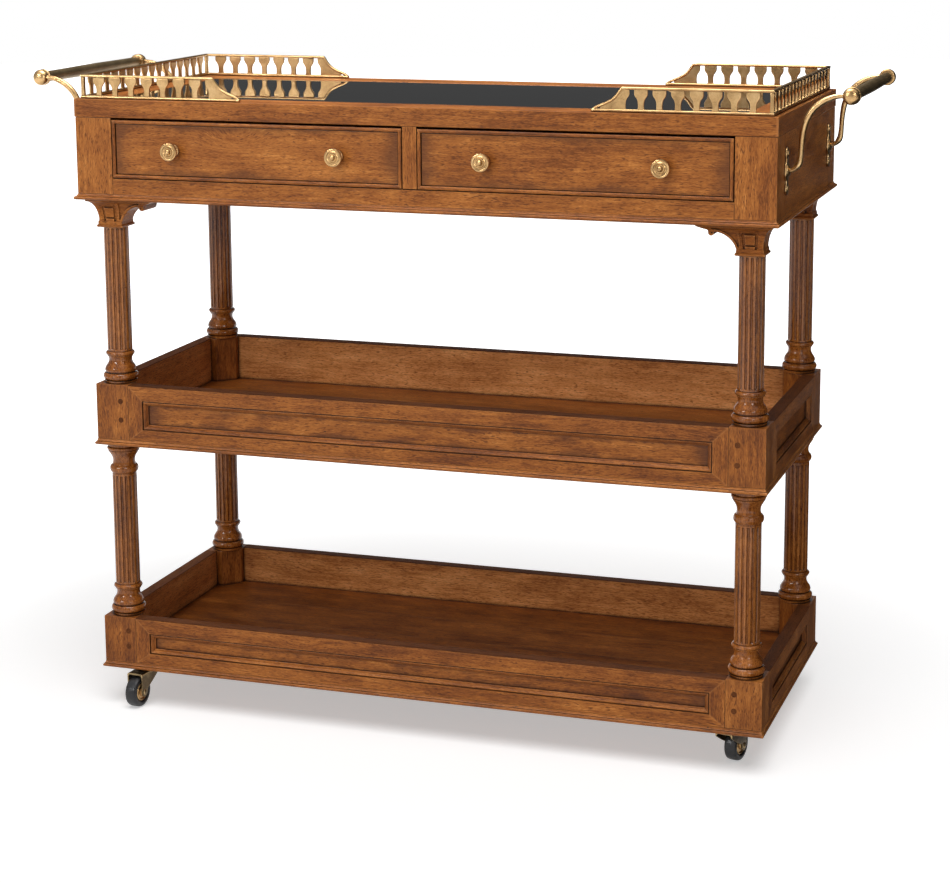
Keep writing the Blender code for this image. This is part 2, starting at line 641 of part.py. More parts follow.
def make_gallery(side, turn, cart):
    """One cast gallery: two U-shaped rails, posts, balusters and swept ends, united in one casting."""
    half_y = TOP_Y - GALLERY_INSET - GALLERY_RAIL_WIDTH / 2
    foot, under = GALLERY_FOOT_RAIL, GALLERY_HEIGHT - GALLERY_TOP_RAIL
    casting = gallery_rail(GALLERY_RETURN + GALLERY_OGEE, 0, GALLERY_FOOT_RAIL)
    pieces = [gallery_rail(GALLERY_RETURN, under, GALLERY_TOP_RAIL)]

    uprights = bmesh.new()
    post = GALLERY_POST / 2
    pitch = GALLERY_RETURN / return_pitches()
    shape = baluster(pitch)
    for hand in SIDES.values():
        y = hand * half_y
        add_box(uprights, (-post, y - post, foot - BITE), (post, y + post, under + BITE))
        for k in range(1, return_pitches()):
            add_copy(uprights, shape, Matrix.Translation((k * pitch, y, 0)))
        for piece in gallery_end():
            bmesh.ops.translate(piece, verts=piece.verts, vec=(GALLERY_RETURN, y, 0))
            pieces.append(piece)
    end_pitches = max(2, round(2 * half_y / GALLERY_PITCH))
    end_pitch = 2 * half_y / end_pitches
    shape = baluster(end_pitch)
    for k in range(1, end_pitches):
        place = Matrix.Translation((0, k * end_pitch - half_y, 0))
        add_copy(uprights, shape, place @ Matrix.Rotation(math.pi / 2, 4, "Z"))
    pieces.append(uprights)

    casting = boolean(casting, pieces, "UNION")
    corner = GALLERY_INSET + GALLERY_RAIL_WIDTH / 2 - TOP_X
    bmesh.ops.translate(casting, verts=casting.verts, vec=(corner, 0, 0))
    make("gallery_" + side, casting, BRASS, cart, (0, 0, TOP_Z + SEAM), turn)


def arm():
    """The bent arm from the plate to the end cap, a round rod on X = 0 at the case's end."""
    bar_x, bar_z = HANDLE_REACH, BAR_Z - CASE_Z - ARM_ROOT_RISE
    bow = min(ARM_SWEEP, bar_z - ARM_BEND, bar_x - ARM_OUT - CAP_RADIUS / 2)
    route = [(PLATE_THICKNESS / 2, 0)]
    route += arc((ARM_OUT - ARM_BEND, ARM_BEND), ARM_BEND, -90, 0, 2)
    route += arc((ARM_OUT + bow, bar_z - bow), bow, 180, 90, 4)
    route += [(bar_x - CAP_RADIUS / 2, bar_z)]
    curve = bpy.data.curves.new("arm", "CURVE")
    curve.dimensions = "3D"
    curve.bevel_depth = ARM_RADIUS
    curve.bevel_resolution = 1
    curve.use_fill_caps = True
    spline = curve.splines.new("POLY")
    spline.points.add(len(route) - 1)
    for point, (x, z) in zip(spline.points, route):
        point.co = (x, 0, z, 1)
    rod = bpy.data.objects.new("arm", curve)
    bm = bmesh.new()
    bm.from_mesh(bpy.data.meshes.new_from_object(rod))
    bpy.data.objects.remove(rod, do_unlink=True)
    bmesh.ops.remove_doubles(bm, verts=bm.verts, dist=SEAM / 10)
    bmesh.ops.recalc_face_normals(bm, faces=bm.faces)
    return bm


def backplate():
    """A boss with a lobe above and below, joined by a narrow waist, standing on X = 0."""
    lobe_z = PLATE_HEIGHT / 2 - PLATE_LOBE
    lobe_turn = math.degrees(math.asin(PLATE_WAIST / PLATE_LOBE))
    boss_turn = math.degrees(math.asin(PLATE_WAIST / PLATE_BOSS))
    right = arc((0, -lobe_z), PLATE_LOBE, -90, 90 - lobe_turn, 3)
    right += arc((0, 0), PLATE_BOSS, boss_turn - 90, 90 - boss_turn, 3)
    right += arc((0, lobe_z), PLATE_LOBE, lobe_turn - 90, 90, 3)
    return prism(right + [(-y, z) for y, z in reversed(right[1:-1])], 0, PLATE_THICKNESS, 0)


def handle_bracket(hand):
    """One casting: the plate, the arm and the cap that holds the end of the bar."""
    cap = turned([(CAP_RADIUS * out, CAP_LENGTH * along) for out, along in CAP_SHARES], SMALL_SIDES)
    place = Matrix.Translation((HANDLE_REACH, -hand * CAP_LENGTH / 2, BAR_Z - CASE_Z - ARM_ROOT_RISE))
    place = place @ Matrix.Rotation(-hand * math.pi / 2, 4, "X")
    bmesh.ops.transform(cap, matrix=place, verts=cap.verts)
    return boolean(backplate(), [arm(), cap], "UNION")


def make_handles(cart):
    """A bar across each end of the cart and the two brackets that hold it."""
    half = HANDLE_Y - CAP_LENGTH / 2 - SEAM
    swell = HANDLE_BAR_RADIUS + HANDLE_SWELL
    profile = [(0, -half), (HANDLE_BAR_RADIUS, -half), (swell, 0), (HANDLE_BAR_RADIUS, half), (0, half)]
    for side, sign in SIDES.items():
        bar = turned(profile, WHEEL_SIDES)
        bmesh.ops.rotate(bar, verts=bar.verts, matrix=Matrix.Rotation(math.pi / 2, 3, "X"))
        place = (sign * (CASE_X + SEAM + HANDLE_REACH), 0, BAR_Z)
        make("handle_bar_" + side, bar, BRONZE, cart, place, smooth=True)
    for corner, (sign_x, sign_y) in CORNERS.items():
        turn = 0.0 if sign_x > 0 else math.pi
        bracket = handle_bracket(sign_x * sign_y)
        place = (sign_x * (CASE_X + SEAM), sign_y * HANDLE_Y, CASE_Z + ARM_ROOT_RISE)
        make("handle_bracket_" + corner, bracket, BRASS, cart, place, turn, smooth=True)


def caster_fork():
    """A pressed fork with its riveted axle, at the swivel axis, trailing along -Y."""
    eye = arc((-CASTER_TRAIL, WHEEL_RADIUS), FORK_EYE, 180, 360, 5)
    shoulder = CROWN_TOP - FORK_SHEET - FORK_SHOULDER
    outline = [(-CASTER_TRAIL - FORK_EYE, CROWN_TOP)] + eye + [(FORK_HEEL, shoulder), (FORK_HEEL, CROWN_TOP)]
    body = prism(outline, -FORK_HALF, 2 * FORK_HALF, 0)
    under, hole = CROWN_TOP - FORK_SHEET, KINGPIN_RADIUS + SWIVEL_GAP
    throat = box((-FORK_GAP / 2, -CASTER_TRAIL - FORK_EYE - OVERRUN, -OVERRUN),
                 (FORK_GAP / 2, FORK_HEEL + OVERRUN, under))
    low, high = under - OVERRUN, CROWN_TOP + OVERRUN
    bore = turned([(0, low), (hole, low), (hole, high), (0, high)], SMALL_SIDES)
    shell = boolean(body, [throat, bore], "DIFFERENCE")
    reach = FORK_HALF + AXLE_HEAD_LENGTH
    seat = FORK_HALF - FORK_SHEET / 2
    half = [(AXLE_RADIUS, seat), (AXLE_HEAD, seat), (AXLE_HEAD, reach), (0, reach)]
    axle = turned([(out, -along) for out, along in reversed(half)] + half, SMALL_SIDES)
    place = Matrix.Translation((0, -CASTER_TRAIL, WHEEL_RADIUS)) @ Matrix.Rotation(math.pi / 2, 4, "Y")
    bmesh.ops.transform(axle, matrix=place, verts=axle.verts)
    return boolean(shell, [axle], "UNION")


def caster_plate():
    """A fixed plate with its bearing race and the kingpin that the fork hangs on."""
    top = CASTER_HEIGHT - SEAM
    foot = top - CASTER_PLATE_THICKNESS
    slab = box((-CASTER_PLATE_LENGTH / 2, -CASTER_PLATE_DEPTH / 2, foot),
               (CASTER_PLATE_LENGTH / 2, CASTER_PLATE_DEPTH / 2, top))
    race, sunk = CROWN_TOP + SWIVEL_GAP, foot + CASTER_PLATE_THICKNESS / 2
    head = CROWN_TOP - FORK_SHEET - SWIVEL_GAP
    wide, narrow = (RACE_RADIUS * share for share in RACE_SHARES)
    tip = head - KINGPIN_HEAD_LENGTH
    pin = [(0, sunk), (wide, sunk), (wide, foot), (narrow, race), (KINGPIN_RADIUS, race)]
    pin += [(KINGPIN_RADIUS, head), (KINGPIN_HEAD, head), (KINGPIN_RADIUS, tip), (0, tip)]
    return boolean(slab, [turned(pin, SMALL_SIDES)], "UNION")


def wheel_pieces():
    """Profiles of the hub and the tyre as (radius, across) points round each section."""
    half, bore = HUB_WIDTH / 2, AXLE_RADIUS + AXLE_GAP
    hub = [(bore, half), (HUB_BOSS, half), (HUB_WEB, half - HUB_RIM), (TYRE_SEAT - SEAM, half - HUB_RIM)]
    hub += [(out, -along) for out, along in reversed(hub)]
    depth = WHEEL_RADIUS - TYRE_SEAT
    tyre = [(TYRE_SEAT + depth * up, TYRE_WIDTH * out) for out, up in TYRE_SHARES]
    tyre += [(out, -along) for out, along in reversed(tyre)]
    return (("hub", hub, BRASS), ("tyre", tyre, RUBBER))


def make_casters(cart):
    """Four swivel casters. Each fork turns about its kingpin and each wheel about its axle."""
    across = Matrix.Rotation(math.pi / 2, 3, "Y")
    for corner, (sign_x, sign_y) in CORNERS.items():
        place = (sign_x * CASTER_X, sign_y * CASTER_Y, 0)
        make("caster_plate_" + corner, caster_plate(), STEEL, cart, place)
        swivel = empty("caster_swivel_" + corner, cart, place, math.radians(CASTER_TURNS[corner]))
        make("caster_fork_" + corner, caster_fork(), STEEL, swivel)
        wheel = empty("caster_wheel_" + corner, swivel, (0, -CASTER_TRAIL, WHEEL_RADIUS))
        for label, profile, finish in wheel_pieces():
            piece = turned(profile, WHEEL_SIDES, ring=True)
            bmesh.ops.rotate(piece, verts=piece.verts, matrix=across)
            make("caster_%s_%s" % (label, corner), piece, finish, wheel, smooth=True)


def build():
    """Makes the whole cart."""
    clear_scene()
    cart = empty("cart", None, (0, CENTRE_Y, 0))
    make_casters(cart)
    make_tray("lower", LOWER_TRAY_Z, LOWER_TRAY_HEIGHT, cart)
    make_tray("middle", MIDDLE_TRAY_Z, MIDDLE_TRAY_HEIGHT, cart)
    make_columns(cart)
    make_case(cart)
    make_top(cart)
    for side, sign in SIDES.items():
        make_drawer(side, sign, cart)
        make_gallery(side, 0.0 if sign < 0 else math.pi, cart)
    make_handles(cart)


build()
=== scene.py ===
"""Finished pieces of the serving cart, its looks and its studio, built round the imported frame.

Metres, +Z up, X along the cart, drawers towards -Y. Places come from the boxes of the frame's nodes.
"""
import math
import random

import bmesh
import bpy
from mathutils import Matrix, Vector


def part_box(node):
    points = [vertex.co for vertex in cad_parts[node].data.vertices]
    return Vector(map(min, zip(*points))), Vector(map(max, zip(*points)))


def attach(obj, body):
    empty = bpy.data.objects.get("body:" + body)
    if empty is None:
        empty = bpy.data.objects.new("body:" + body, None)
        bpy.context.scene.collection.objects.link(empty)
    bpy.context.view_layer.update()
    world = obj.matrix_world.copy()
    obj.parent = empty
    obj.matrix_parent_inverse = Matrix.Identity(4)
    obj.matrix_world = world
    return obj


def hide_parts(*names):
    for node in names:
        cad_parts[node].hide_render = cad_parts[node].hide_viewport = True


def tenths(*points):
    """Points given in tenths of a millimetre, in metres."""
    return [tuple(value / 10000 for value in point) for point in points]


# Camera: its place, its angles in radians, and the photograph's frame in pixels
CAMERA_PLACE = (1.1821, -3.4346, 1.3188)
CAMERA_TURN, CAMERA_DIP, CAMERA_TILT = 0.3184, 0.1787, -0.0055
FOCAL_LENGTH_PX = 2303.4
CENTRE_PX = (489.64, 298.5)
IMAGE_PX = (950, 883)
SENSOR = 36.0

# Lamps: place, size in metres, power in watts
KEY_LAMP = ((-0.7, -4.7, 2.8), 3.0, 122.0)
TOP_LAMP = ((-0.2, -0.3, 3.2), 1.8, 80.0)
FILL_LAMP = ((2.8, -3.8, 2.2), 1.6, 8.0)
AMBIENT = 0.16

# Floor: radius, share of light it returns, its own light as strength, spread and lean and turn towards the front in
# degrees, and its glow near the cart and far out, where it is white
FLOOR_RADIUS = 14.0
FLOOR_SHARE = 0.85
FLOOR_LIGHT = (1.80, 44, 20, 19)
FLOOR_GLOW = (0.44, 1.0)
FLOOR_FADE = (0.8, 1.9)

# Screens that only mirrors see: two opposite corners and the brightness
SCREENS = {
    "back_screen": ((-7.0, 3.6, 1.10), (7.0, 3.6, 6.0), 0.085),
    "front_screen": ((-7.0, -6.0, 0.30), (9.0, -6.0, 7.0), 0.36),
    "left_screen": ((-6.5, -6.0, 0.0), (-6.5, 3.6, 7.0), 0.42),
    "left_shine": ((-2.9, -4.4, 2.0), (-2.1, -4.4, 3.2), 30.0),
    "right_shine": ((2.8, -4.2, 1.9), (3.5, -4.2, 3.0), 24.0),
    "right_screen": ((6.0, -6.0, 0.0), (6.0, 3.6, 6.0), 0.08),
    "flag": ((0.60, 1.15, 0.0), (5.0, 1.15, 2.6), 0.012),
    "floor_flag": ((0.55, -1.0, 0.002), (5.0, 1.15, 0.002), 0.03),
}

# Seams and edges
HAIR = 0.0001
EDGE = 0.0009
FINE_EDGE = 0.0004
SMOOTH_ANGLE = 38

# Trays: each wall is a mitred frame round a sunk field, with a lining board behind. A tone is how much paler a piece
# is than its finish, and the end shade is how far painted shade darkens its ends. The linings' higher tone and their
# paler finish are painted light on the trays' inner walls.
TRAY_WALL = 0.0200
WALL_TONE, FIELD_TONE, POST_TONE, PEG_TONE, LINING_PAINTED_LIGHT = -0.07, -0.04, -0.06, 0.10, 0.10
FIELD_END_SHADE, LINING_END_SHADE, PLANK_END_SHADE, POST_END_SHADE = 1.0, 0.25, 0.5, 0.25
TRAY_FRAME = 0.0120
TRAY_POST = 0.0560
TRAY_POST_CHAMFER = 0.0260
PANEL_MARGINS = (0.0240, 0.0180, 0.0240, 0.0230)
QUIRK_WIDTH, QUIRK_DEPTH = 0.0010, 0.0026
BEAD_WIDTH, BEAD_RISE = 0.0034, 0.0013
OGEE_WIDTH, OGEE_SHARE, FIELD_SINK = 0.0036, 0.60, 0.0090
CAP_STRIP = 0.0012
# How much paler the strips along the cart and across it are painted: the strips across the cart are painted paler,
# which is painted light
STRIP_PAINTED_LIGHT = (0.00, 0.32)
PLANKS = 4
# The planks' tone in each tray: the middle tray's are painted paler than the lower tray's, which is painted light
FLOOR_TONE_AND_PAINTED_LIGHT = {"lower": -0.08, "middle": 0.02}
PEG_RADIUS = 0.0042
PEG_PROUD = 0.0005
PEG_INSET = 0.0135
PEG_SHARES = (0.30, 0.64)

# Moulded base boards
NOSE_SHARE = 0.56
NOSE_QUIRK = 0.0016
BASE_RAIL = 0.0300
MOULDING_TONE, BOARD_TONE = 0.04, -0.08

# Case
CASE_POST = (0.0615, 0.0580)
CASE_POST_TONE, BEAD_TONE, DRAWER_END_SHADE = 0.05, -0.12, 0.90
BOARD = 0.0180
TOP_RAIL = 0.0560
TOP_LIP = 0.0006
REBATE_DEPTH, REBATE_WIDTH = 0.008, 0.02
GLASS_EDGE = 0.0008
DRAWER_BEAD = 0.0055
DRAWER_BEAD_RISE = 0.0016
DRAWER_BEAD_DEPTH = 0.0100
DRAWER_FIELD_SINK = 0.0030
DRAWER_QUIRK = 0.0007
DRAWER_TONE = {"left": -0.03, "right": 0.09}
DRAWER_SIDE = 0.0120
DRAWER_BOTTOM = 0.0080
RUNNER_WIDTH = 0.0240

# Columns: radii and heights in metres, from the foot up
SHAFT_RADIUS = 0.0196
FLUTES = 16
FLUTE_HALF = 0.0022
FLUTE_SINK = 0.0022
FLUTE_STEPS = 10
FLUTE_MARGIN = 0.0010
BASE_HEIGHT = 0.0525
NECKING_HEIGHT = 0.0520
TURNED_TONE = 0.02

# Bracket capitals
COLLAR_HALF = 0.0224
COLLAR_LIP = 0.0040
COLLAR_HEIGHT = 0.0098
BELL_HALF = 0.0194
ABACUS_HALF, ABACUS_HEIGHT = 0.0352, 0.0035
ARCH_START = 0.0208
SCROLL_X, SCROLL_DROP, SCROLL_RADIUS = 0.0570, 0.0135, 0.0042
BRACKET_REACH = 0.0785
RIM_WIDTH = 0.0038
FRAME_SINK, CARVED_SINK = 0.0010, 0.0028
EYE_RADIUS = 0.0014
CARVE_VOXEL = 0.0006
CARVE_SMOOTH = 6

# Pierced gallery
RAIL_WIDTH, FOOT_RAIL, TOP_RAIL_HEIGHT = 0.0070, 0.0045, 0.0040
GALLERY_ROUND = 0.0016
GALLERY_PITCH = 0.0270
GALLERY_RETURN = 0.2190
GALLERY_OGEE = 0.0450
GALLERY_PLATE = 0.0042
POST_HALF = 0.0032
BALUSTER = ((0.192, 0.00), (0.176, 0.05), (0.168, 0.14), (0.168, 0.28), (0.178, 0.38), (0.205, 0.48),
            (0.256, 0.57), (0.318, 0.65), (0.360, 0.73), (0.376, 0.82), (0.374, 0.92), (0.366, 1.00))
SWEPT_RAIL = ((0.000, 1.00), (0.040, 0.965), (0.075, 0.90), (0.150, 0.76), (0.215, 0.64), (0.280, 0.545),
              (0.360, 0.455), (0.450, 0.385), (0.550, 0.315), (0.660, 0.250), (0.780, 0.180), (0.900, 0.105),
              (0.970, 0.040))

# Push handles: the arm's route has its place outward and upward and its radius
ARM_ROUTE = tenths((15, 0, 34), (85, 10, 30), (135, 38, 36), (175, 85, 47), (200, 150, 45), (214, 300, 39),
                   (225, 480, 42), (262, 680, 46), (350, 860, 47), (485, 990, 46), (650, 1072, 41),
                   (780, 1098, 36), (900, 1096, 44))
CAP_PROFILE = tenths((0, -5), (98, -5), (118, 0), (127, 12), (126, 24), (112, 34), (105, 41), (114, 52), (122, 72),
                     (126, 98), (122, 126), (110, 151), (89, 171), (61, 184), (31, 190), (0, 192))
PLATE_OUTLINE = tenths((0, 345), (48, 333), (84, 298), (93, 252), (78, 208), (62, 170), (72, 130), (112, 92), (136, 45),
                       (142, 0))
PLATE_THICKNESS = 0.0030
SCREW_RADIUS, SCREW_HEIGHT = 0.0038, 0.0256
CAP_REACH, CAP_ASIDE = 0.0024, 0.0095

# Knobs: radius and height from the drawer front, shares of the node's own size
KNOB_PROFILE = ((0.68, 0.00), (0.70, 0.03), (0.66, 0.08), (0.50, 0.12), (0.38, 0.20), (0.34, 0.32), (0.36, 0.44),
                (0.52, 0.52), (0.84, 0.56), (0.97, 0.60), (1.00, 0.66), (1.00, 0.74), (0.96, 0.79), (0.86, 0.81),
                (0.80, 0.79), (0.74, 0.79), (0.68, 0.83), (0.58, 0.86), (0.52, 0.84), (0.46, 0.81), (0.34, 0.81),
                (0.30, 0.84), (0.28, 0.90), (0.22, 0.96), (0.12, 0.99), (0.00, 1.00))

# Casters
WHEEL_RADIUS = 0.0250
TYRE_PROFILE = tenths((152, 74), (178, 94), (200, 100), (220, 98), (236, 88), (245, 70), (249, 45), (250, 0))
HUB_PROFILE = tenths((36, 108), (64, 108), (70, 100), (74, 74), (90, 66), (112, 68), (128, 84), (142, 90), (149, 82))
FORK_SHEET, SHEET_EDGE = 0.0022, 0.0005
FORK_GAP = 0.0236
FORK_EYE = 0.0080
FORK_HEEL = 0.0150
FORK_SHOULDER = 0.0045
CASTER_TRAIL = 0.0310
CASTER_TURNS = {"front_left": -5, "front_right": 168, "back_left": -14, "back_right": 9}
AXLE_RADIUS, AXLE_HEAD_RADIUS = 0.0030, 0.0046
PLATE_SHEET, PLATE_CORNER, PLATE_SCREW, PLATE_SCREW_INSET = 0.0022, 0.004, 0.0030, 0.006
RACE_RADIUS = 0.0165
WHEEL_SIDES = 64

CORNERS = {"front_left": (-1, -1), "front_right": (1, -1), "back_left": (-1, 1), "back_right": (1, 1)}
SIDES = {"left": -1, "right": 1}
AROUND = ("front", "right", "back", "left")

# The fibres of a level frame's members in turn: along X and along Y
LEVEL_FIBRES = ((0, 1), (1, 0))

# Colours, linear
WHITE, BLACK = (1.0, 1.0, 1.0, 1.0), (0.0, 0.0, 0.0, 1.0)
WALNUT_TONES = ((0.080, 0.019, 0.0035), (0.240, 0.069, 0.0110), (0.425, 0.142, 0.0260), (0.640, 0.255, 0.0600))
TURNED_TONES = ((0.060, 0.014, 0.0030), (0.195, 0.054, 0.0085), (0.385, 0.124, 0.0220), (0.600, 0.225, 0.0500))
# A paler copy of the walnut for the tray linings: painted light
PAINTED_LIT_TONES = ((0.130, 0.040, 0.012), (0.370, 0.130, 0.034), (0.590, 0.240, 0.074), (0.780, 0.370, 0.135))
DARK_TONES = ((0.038, 0.011, 0.003), (0.083, 0.025, 0.007), (0.131, 0.042, 0.012), (0.190, 0.063, 0.019))
PLAIN_TONES = ((0.300, 0.150, 0.062), (0.440, 0.245, 0.115), (0.540, 0.325, 0.165), (0.620, 0.410, 0.230))
# Painted shade in corners and grooves, and also the colour of knot hearts and pin knots
KNOT_AND_SHADE_COLOUR = (0.026, 0.009, 0.004)
# Sharp edges painted lighter: partly wear, partly painted highlight
WORN_AND_LIT_EDGE = (0.640, 0.270, 0.080)
# Painted shade towards a board's ends and sides, and how far it reaches from them
END_SHADE_COLOUR = (0.085, 0.026, 0.009)
END_SHADE_REACH, SIDE_SHADE_REACH = 0.0360, 0.0110
OWN_TONE = 0.10
BRASS_TONES = ((0.250, 0.142, 0.058), (0.560, 0.350, 0.155), (0.780, 0.545, 0.285))
BRONZE_TONES = ((0.150, 0.104, 0.050), (0.280, 0.200, 0.104), (0.430, 0.318, 0.176))
STEEL_TONES = ((0.040, 0.027, 0.014), (0.170, 0.120, 0.062), (0.430, 0.325, 0.170))
# Sharp metal edges painted lighter: partly wear, partly painted highlight
BRIGHT_EDGE = (0.780, 0.570, 0.290)
METAL_GLAZE = (0.050, 0.028, 0.012)
GLASS_TONES = ((0.010, 0.011, 0.013), (0.015, 0.016, 0.018))
RUBBER_TONES = ((0.007, 0.007, 0.008), (0.034, 0.032, 0.030))

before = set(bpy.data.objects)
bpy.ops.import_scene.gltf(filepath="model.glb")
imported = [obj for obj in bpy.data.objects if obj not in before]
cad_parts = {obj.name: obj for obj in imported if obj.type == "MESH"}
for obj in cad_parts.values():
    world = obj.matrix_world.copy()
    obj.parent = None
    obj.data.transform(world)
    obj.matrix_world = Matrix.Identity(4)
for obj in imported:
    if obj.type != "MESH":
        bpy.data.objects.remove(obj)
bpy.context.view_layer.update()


# Nodes

def add(source, kind, inputs=None, **settings):
    """Adds a node with its settings and inputs to a tree, which may be given by one of its sockets."""
    node = source.id_data.nodes.new("ShaderNode" + kind)
    for name, value in settings.items():
        setattr(node, name, value)
    wire(node, inputs or {})
    return node


def wire(node, inputs):
    """Sets a node's inputs. A socket is linked, and anything else is the input's own value."""
    for key, value in inputs.items():
        if isinstance(value, bpy.types.NodeSocket):
            node.id_data.links.new(value, node.inputs[key])
        else:
            node.inputs[key].default_value = value


def calc(operation, first, second=0.0):
    """A Math node's result. At least one of the two is a socket."""
    source = first if isinstance(first, bpy.types.NodeSocket) else second
    return add(source, "Math", {0: first, 1: second}, operation=operation).outputs[0]


def plus(first, second):
    """The sum."""
    return calc("ADD", first, second)


def times(first, second):
    """The product."""
    return calc("MULTIPLY", first, second)


def stretch(vector, scale):
    """The vector with each axis multiplied."""
    return add(vector, "VectorMath", {0: vector, 1: scale}, operation="MULTIPLY").outputs[0]


def noise(vector, scale, detail=2.0, roughness=0.5):
    """A noise value round 0.5."""
    inputs = {"Vector": vector, "Scale": scale, "Detail": detail, "Roughness": roughness}
    return add(vector, "TexNoise", inputs).outputs[0]


def span(value, low, high, start=0.0, end=1.0):
    """The value mapped from low-high to start-end, and held there."""
    inputs = {"Value": value, "From Min": low, "From Max": high, "To Min": start, "To Max": end}
    return add(value, "MapRange", inputs, interpolation_type="SMOOTHSTEP").outputs[0]


def mix(factor, first, second):
    """A mixed colour."""
    return add(factor, "Mix", {0: factor, 6: paint(first), 7: paint(second)}, data_type="RGBA").outputs[2]


def paint(colour):
    """A colour with its alpha, or a socket as it is."""
    return colour if isinstance(colour, bpy.types.NodeSocket) else (*colour, 1.0)


def ramp(value, tones):
    """Tones spread evenly from 0 to 1."""
    node = add(value, "ValToRGB", {"Fac": value})
    elements = node.color_ramp.elements
    while len(elements) < len(tones):
        elements.new(0.5)
    for k, tone in enumerate(tones):
        elements[k].position = k / (len(tones) - 1)
        elements[k].color = paint(tone)
    return node.outputs[0]


def hollows(tree, reach, own_piece):
    """How deep in a corner or groove a point lies, from 0 in the open to 1."""
    shade = add(tree, "AmbientOcclusion", {"Distance": reach}, samples=8, only_local=own_piece)
    return calc("SUBTRACT", 1.0, shade.outputs["AO"])


def ridges(tree, reach):
    """How sharply the surface turns outward at a point, from 0 on a flat to 1 on a thin edge."""
    shade = add(tree, "AmbientOcclusion", {"Distance": reach}, samples=6, only_local=True, inside=True)
    return calc("SUBTRACT", 1.0, shade.outputs["AO"])


def bump(height, strength, distance):
    """A normal with fine relief."""
    return add(height, "Bump", {"Height": height, "Strength": strength, "Distance": distance}).outputs[0]


def new_material(name, **sockets):
    """A material with its Principled shader, and constant sockets set on it."""
    material = bpy.data.materials.new(name)
    material.use_nodes = True
    tree = material.node_tree
    shader = tree.nodes["Principled BSDF"]
    wire(shader, {socket.replace("_", " "): value for socket, value in sockets.items()})
    return material, tree, shader


def stored(tree, name, output="Vector"):
    """What write_grain stored with a board's vertices."""
    return add(tree, "Attribute", attribute_name=name).outputs[output]


def painted_end_shade(tree, cloud):
    """How near a point lies to the ends and sides of its board, where painted shade darkens it."""
    away = add(tree, "VectorMath", {0: stored(tree, "spot")}, operation="ABSOLUTE").outputs[0]
    gap = add(tree, "VectorMath", {0: stored(tree, "half"), 1: away}, operation="SUBTRACT").outputs[0]
    gaps = add(tree, "SeparateXYZ", {0: gap})
    uneven = times(calc("SUBTRACT", cloud, 0.5), 0.040)
    ends = span(plus(gaps.outputs[0], uneven), 0.000, END_SHADE_REACH, 1.0, 0.0)
    sides = span(plus(gaps.outputs[1], uneven), -0.002, SIDE_SHADE_REACH, 0.8, 0.0)
    return times(calc("MAXIMUM", ends, sides), stored(tree, "painted_end_shade", "Fac"))


def has_knot(cell, share):
    """1 in the given share of a Voronoi node's cells, and 0 in the others."""
    return calc("LESS_THAN", add(cell, "SeparateColor", {0: cell.outputs["Color"]}).outputs[0], share)


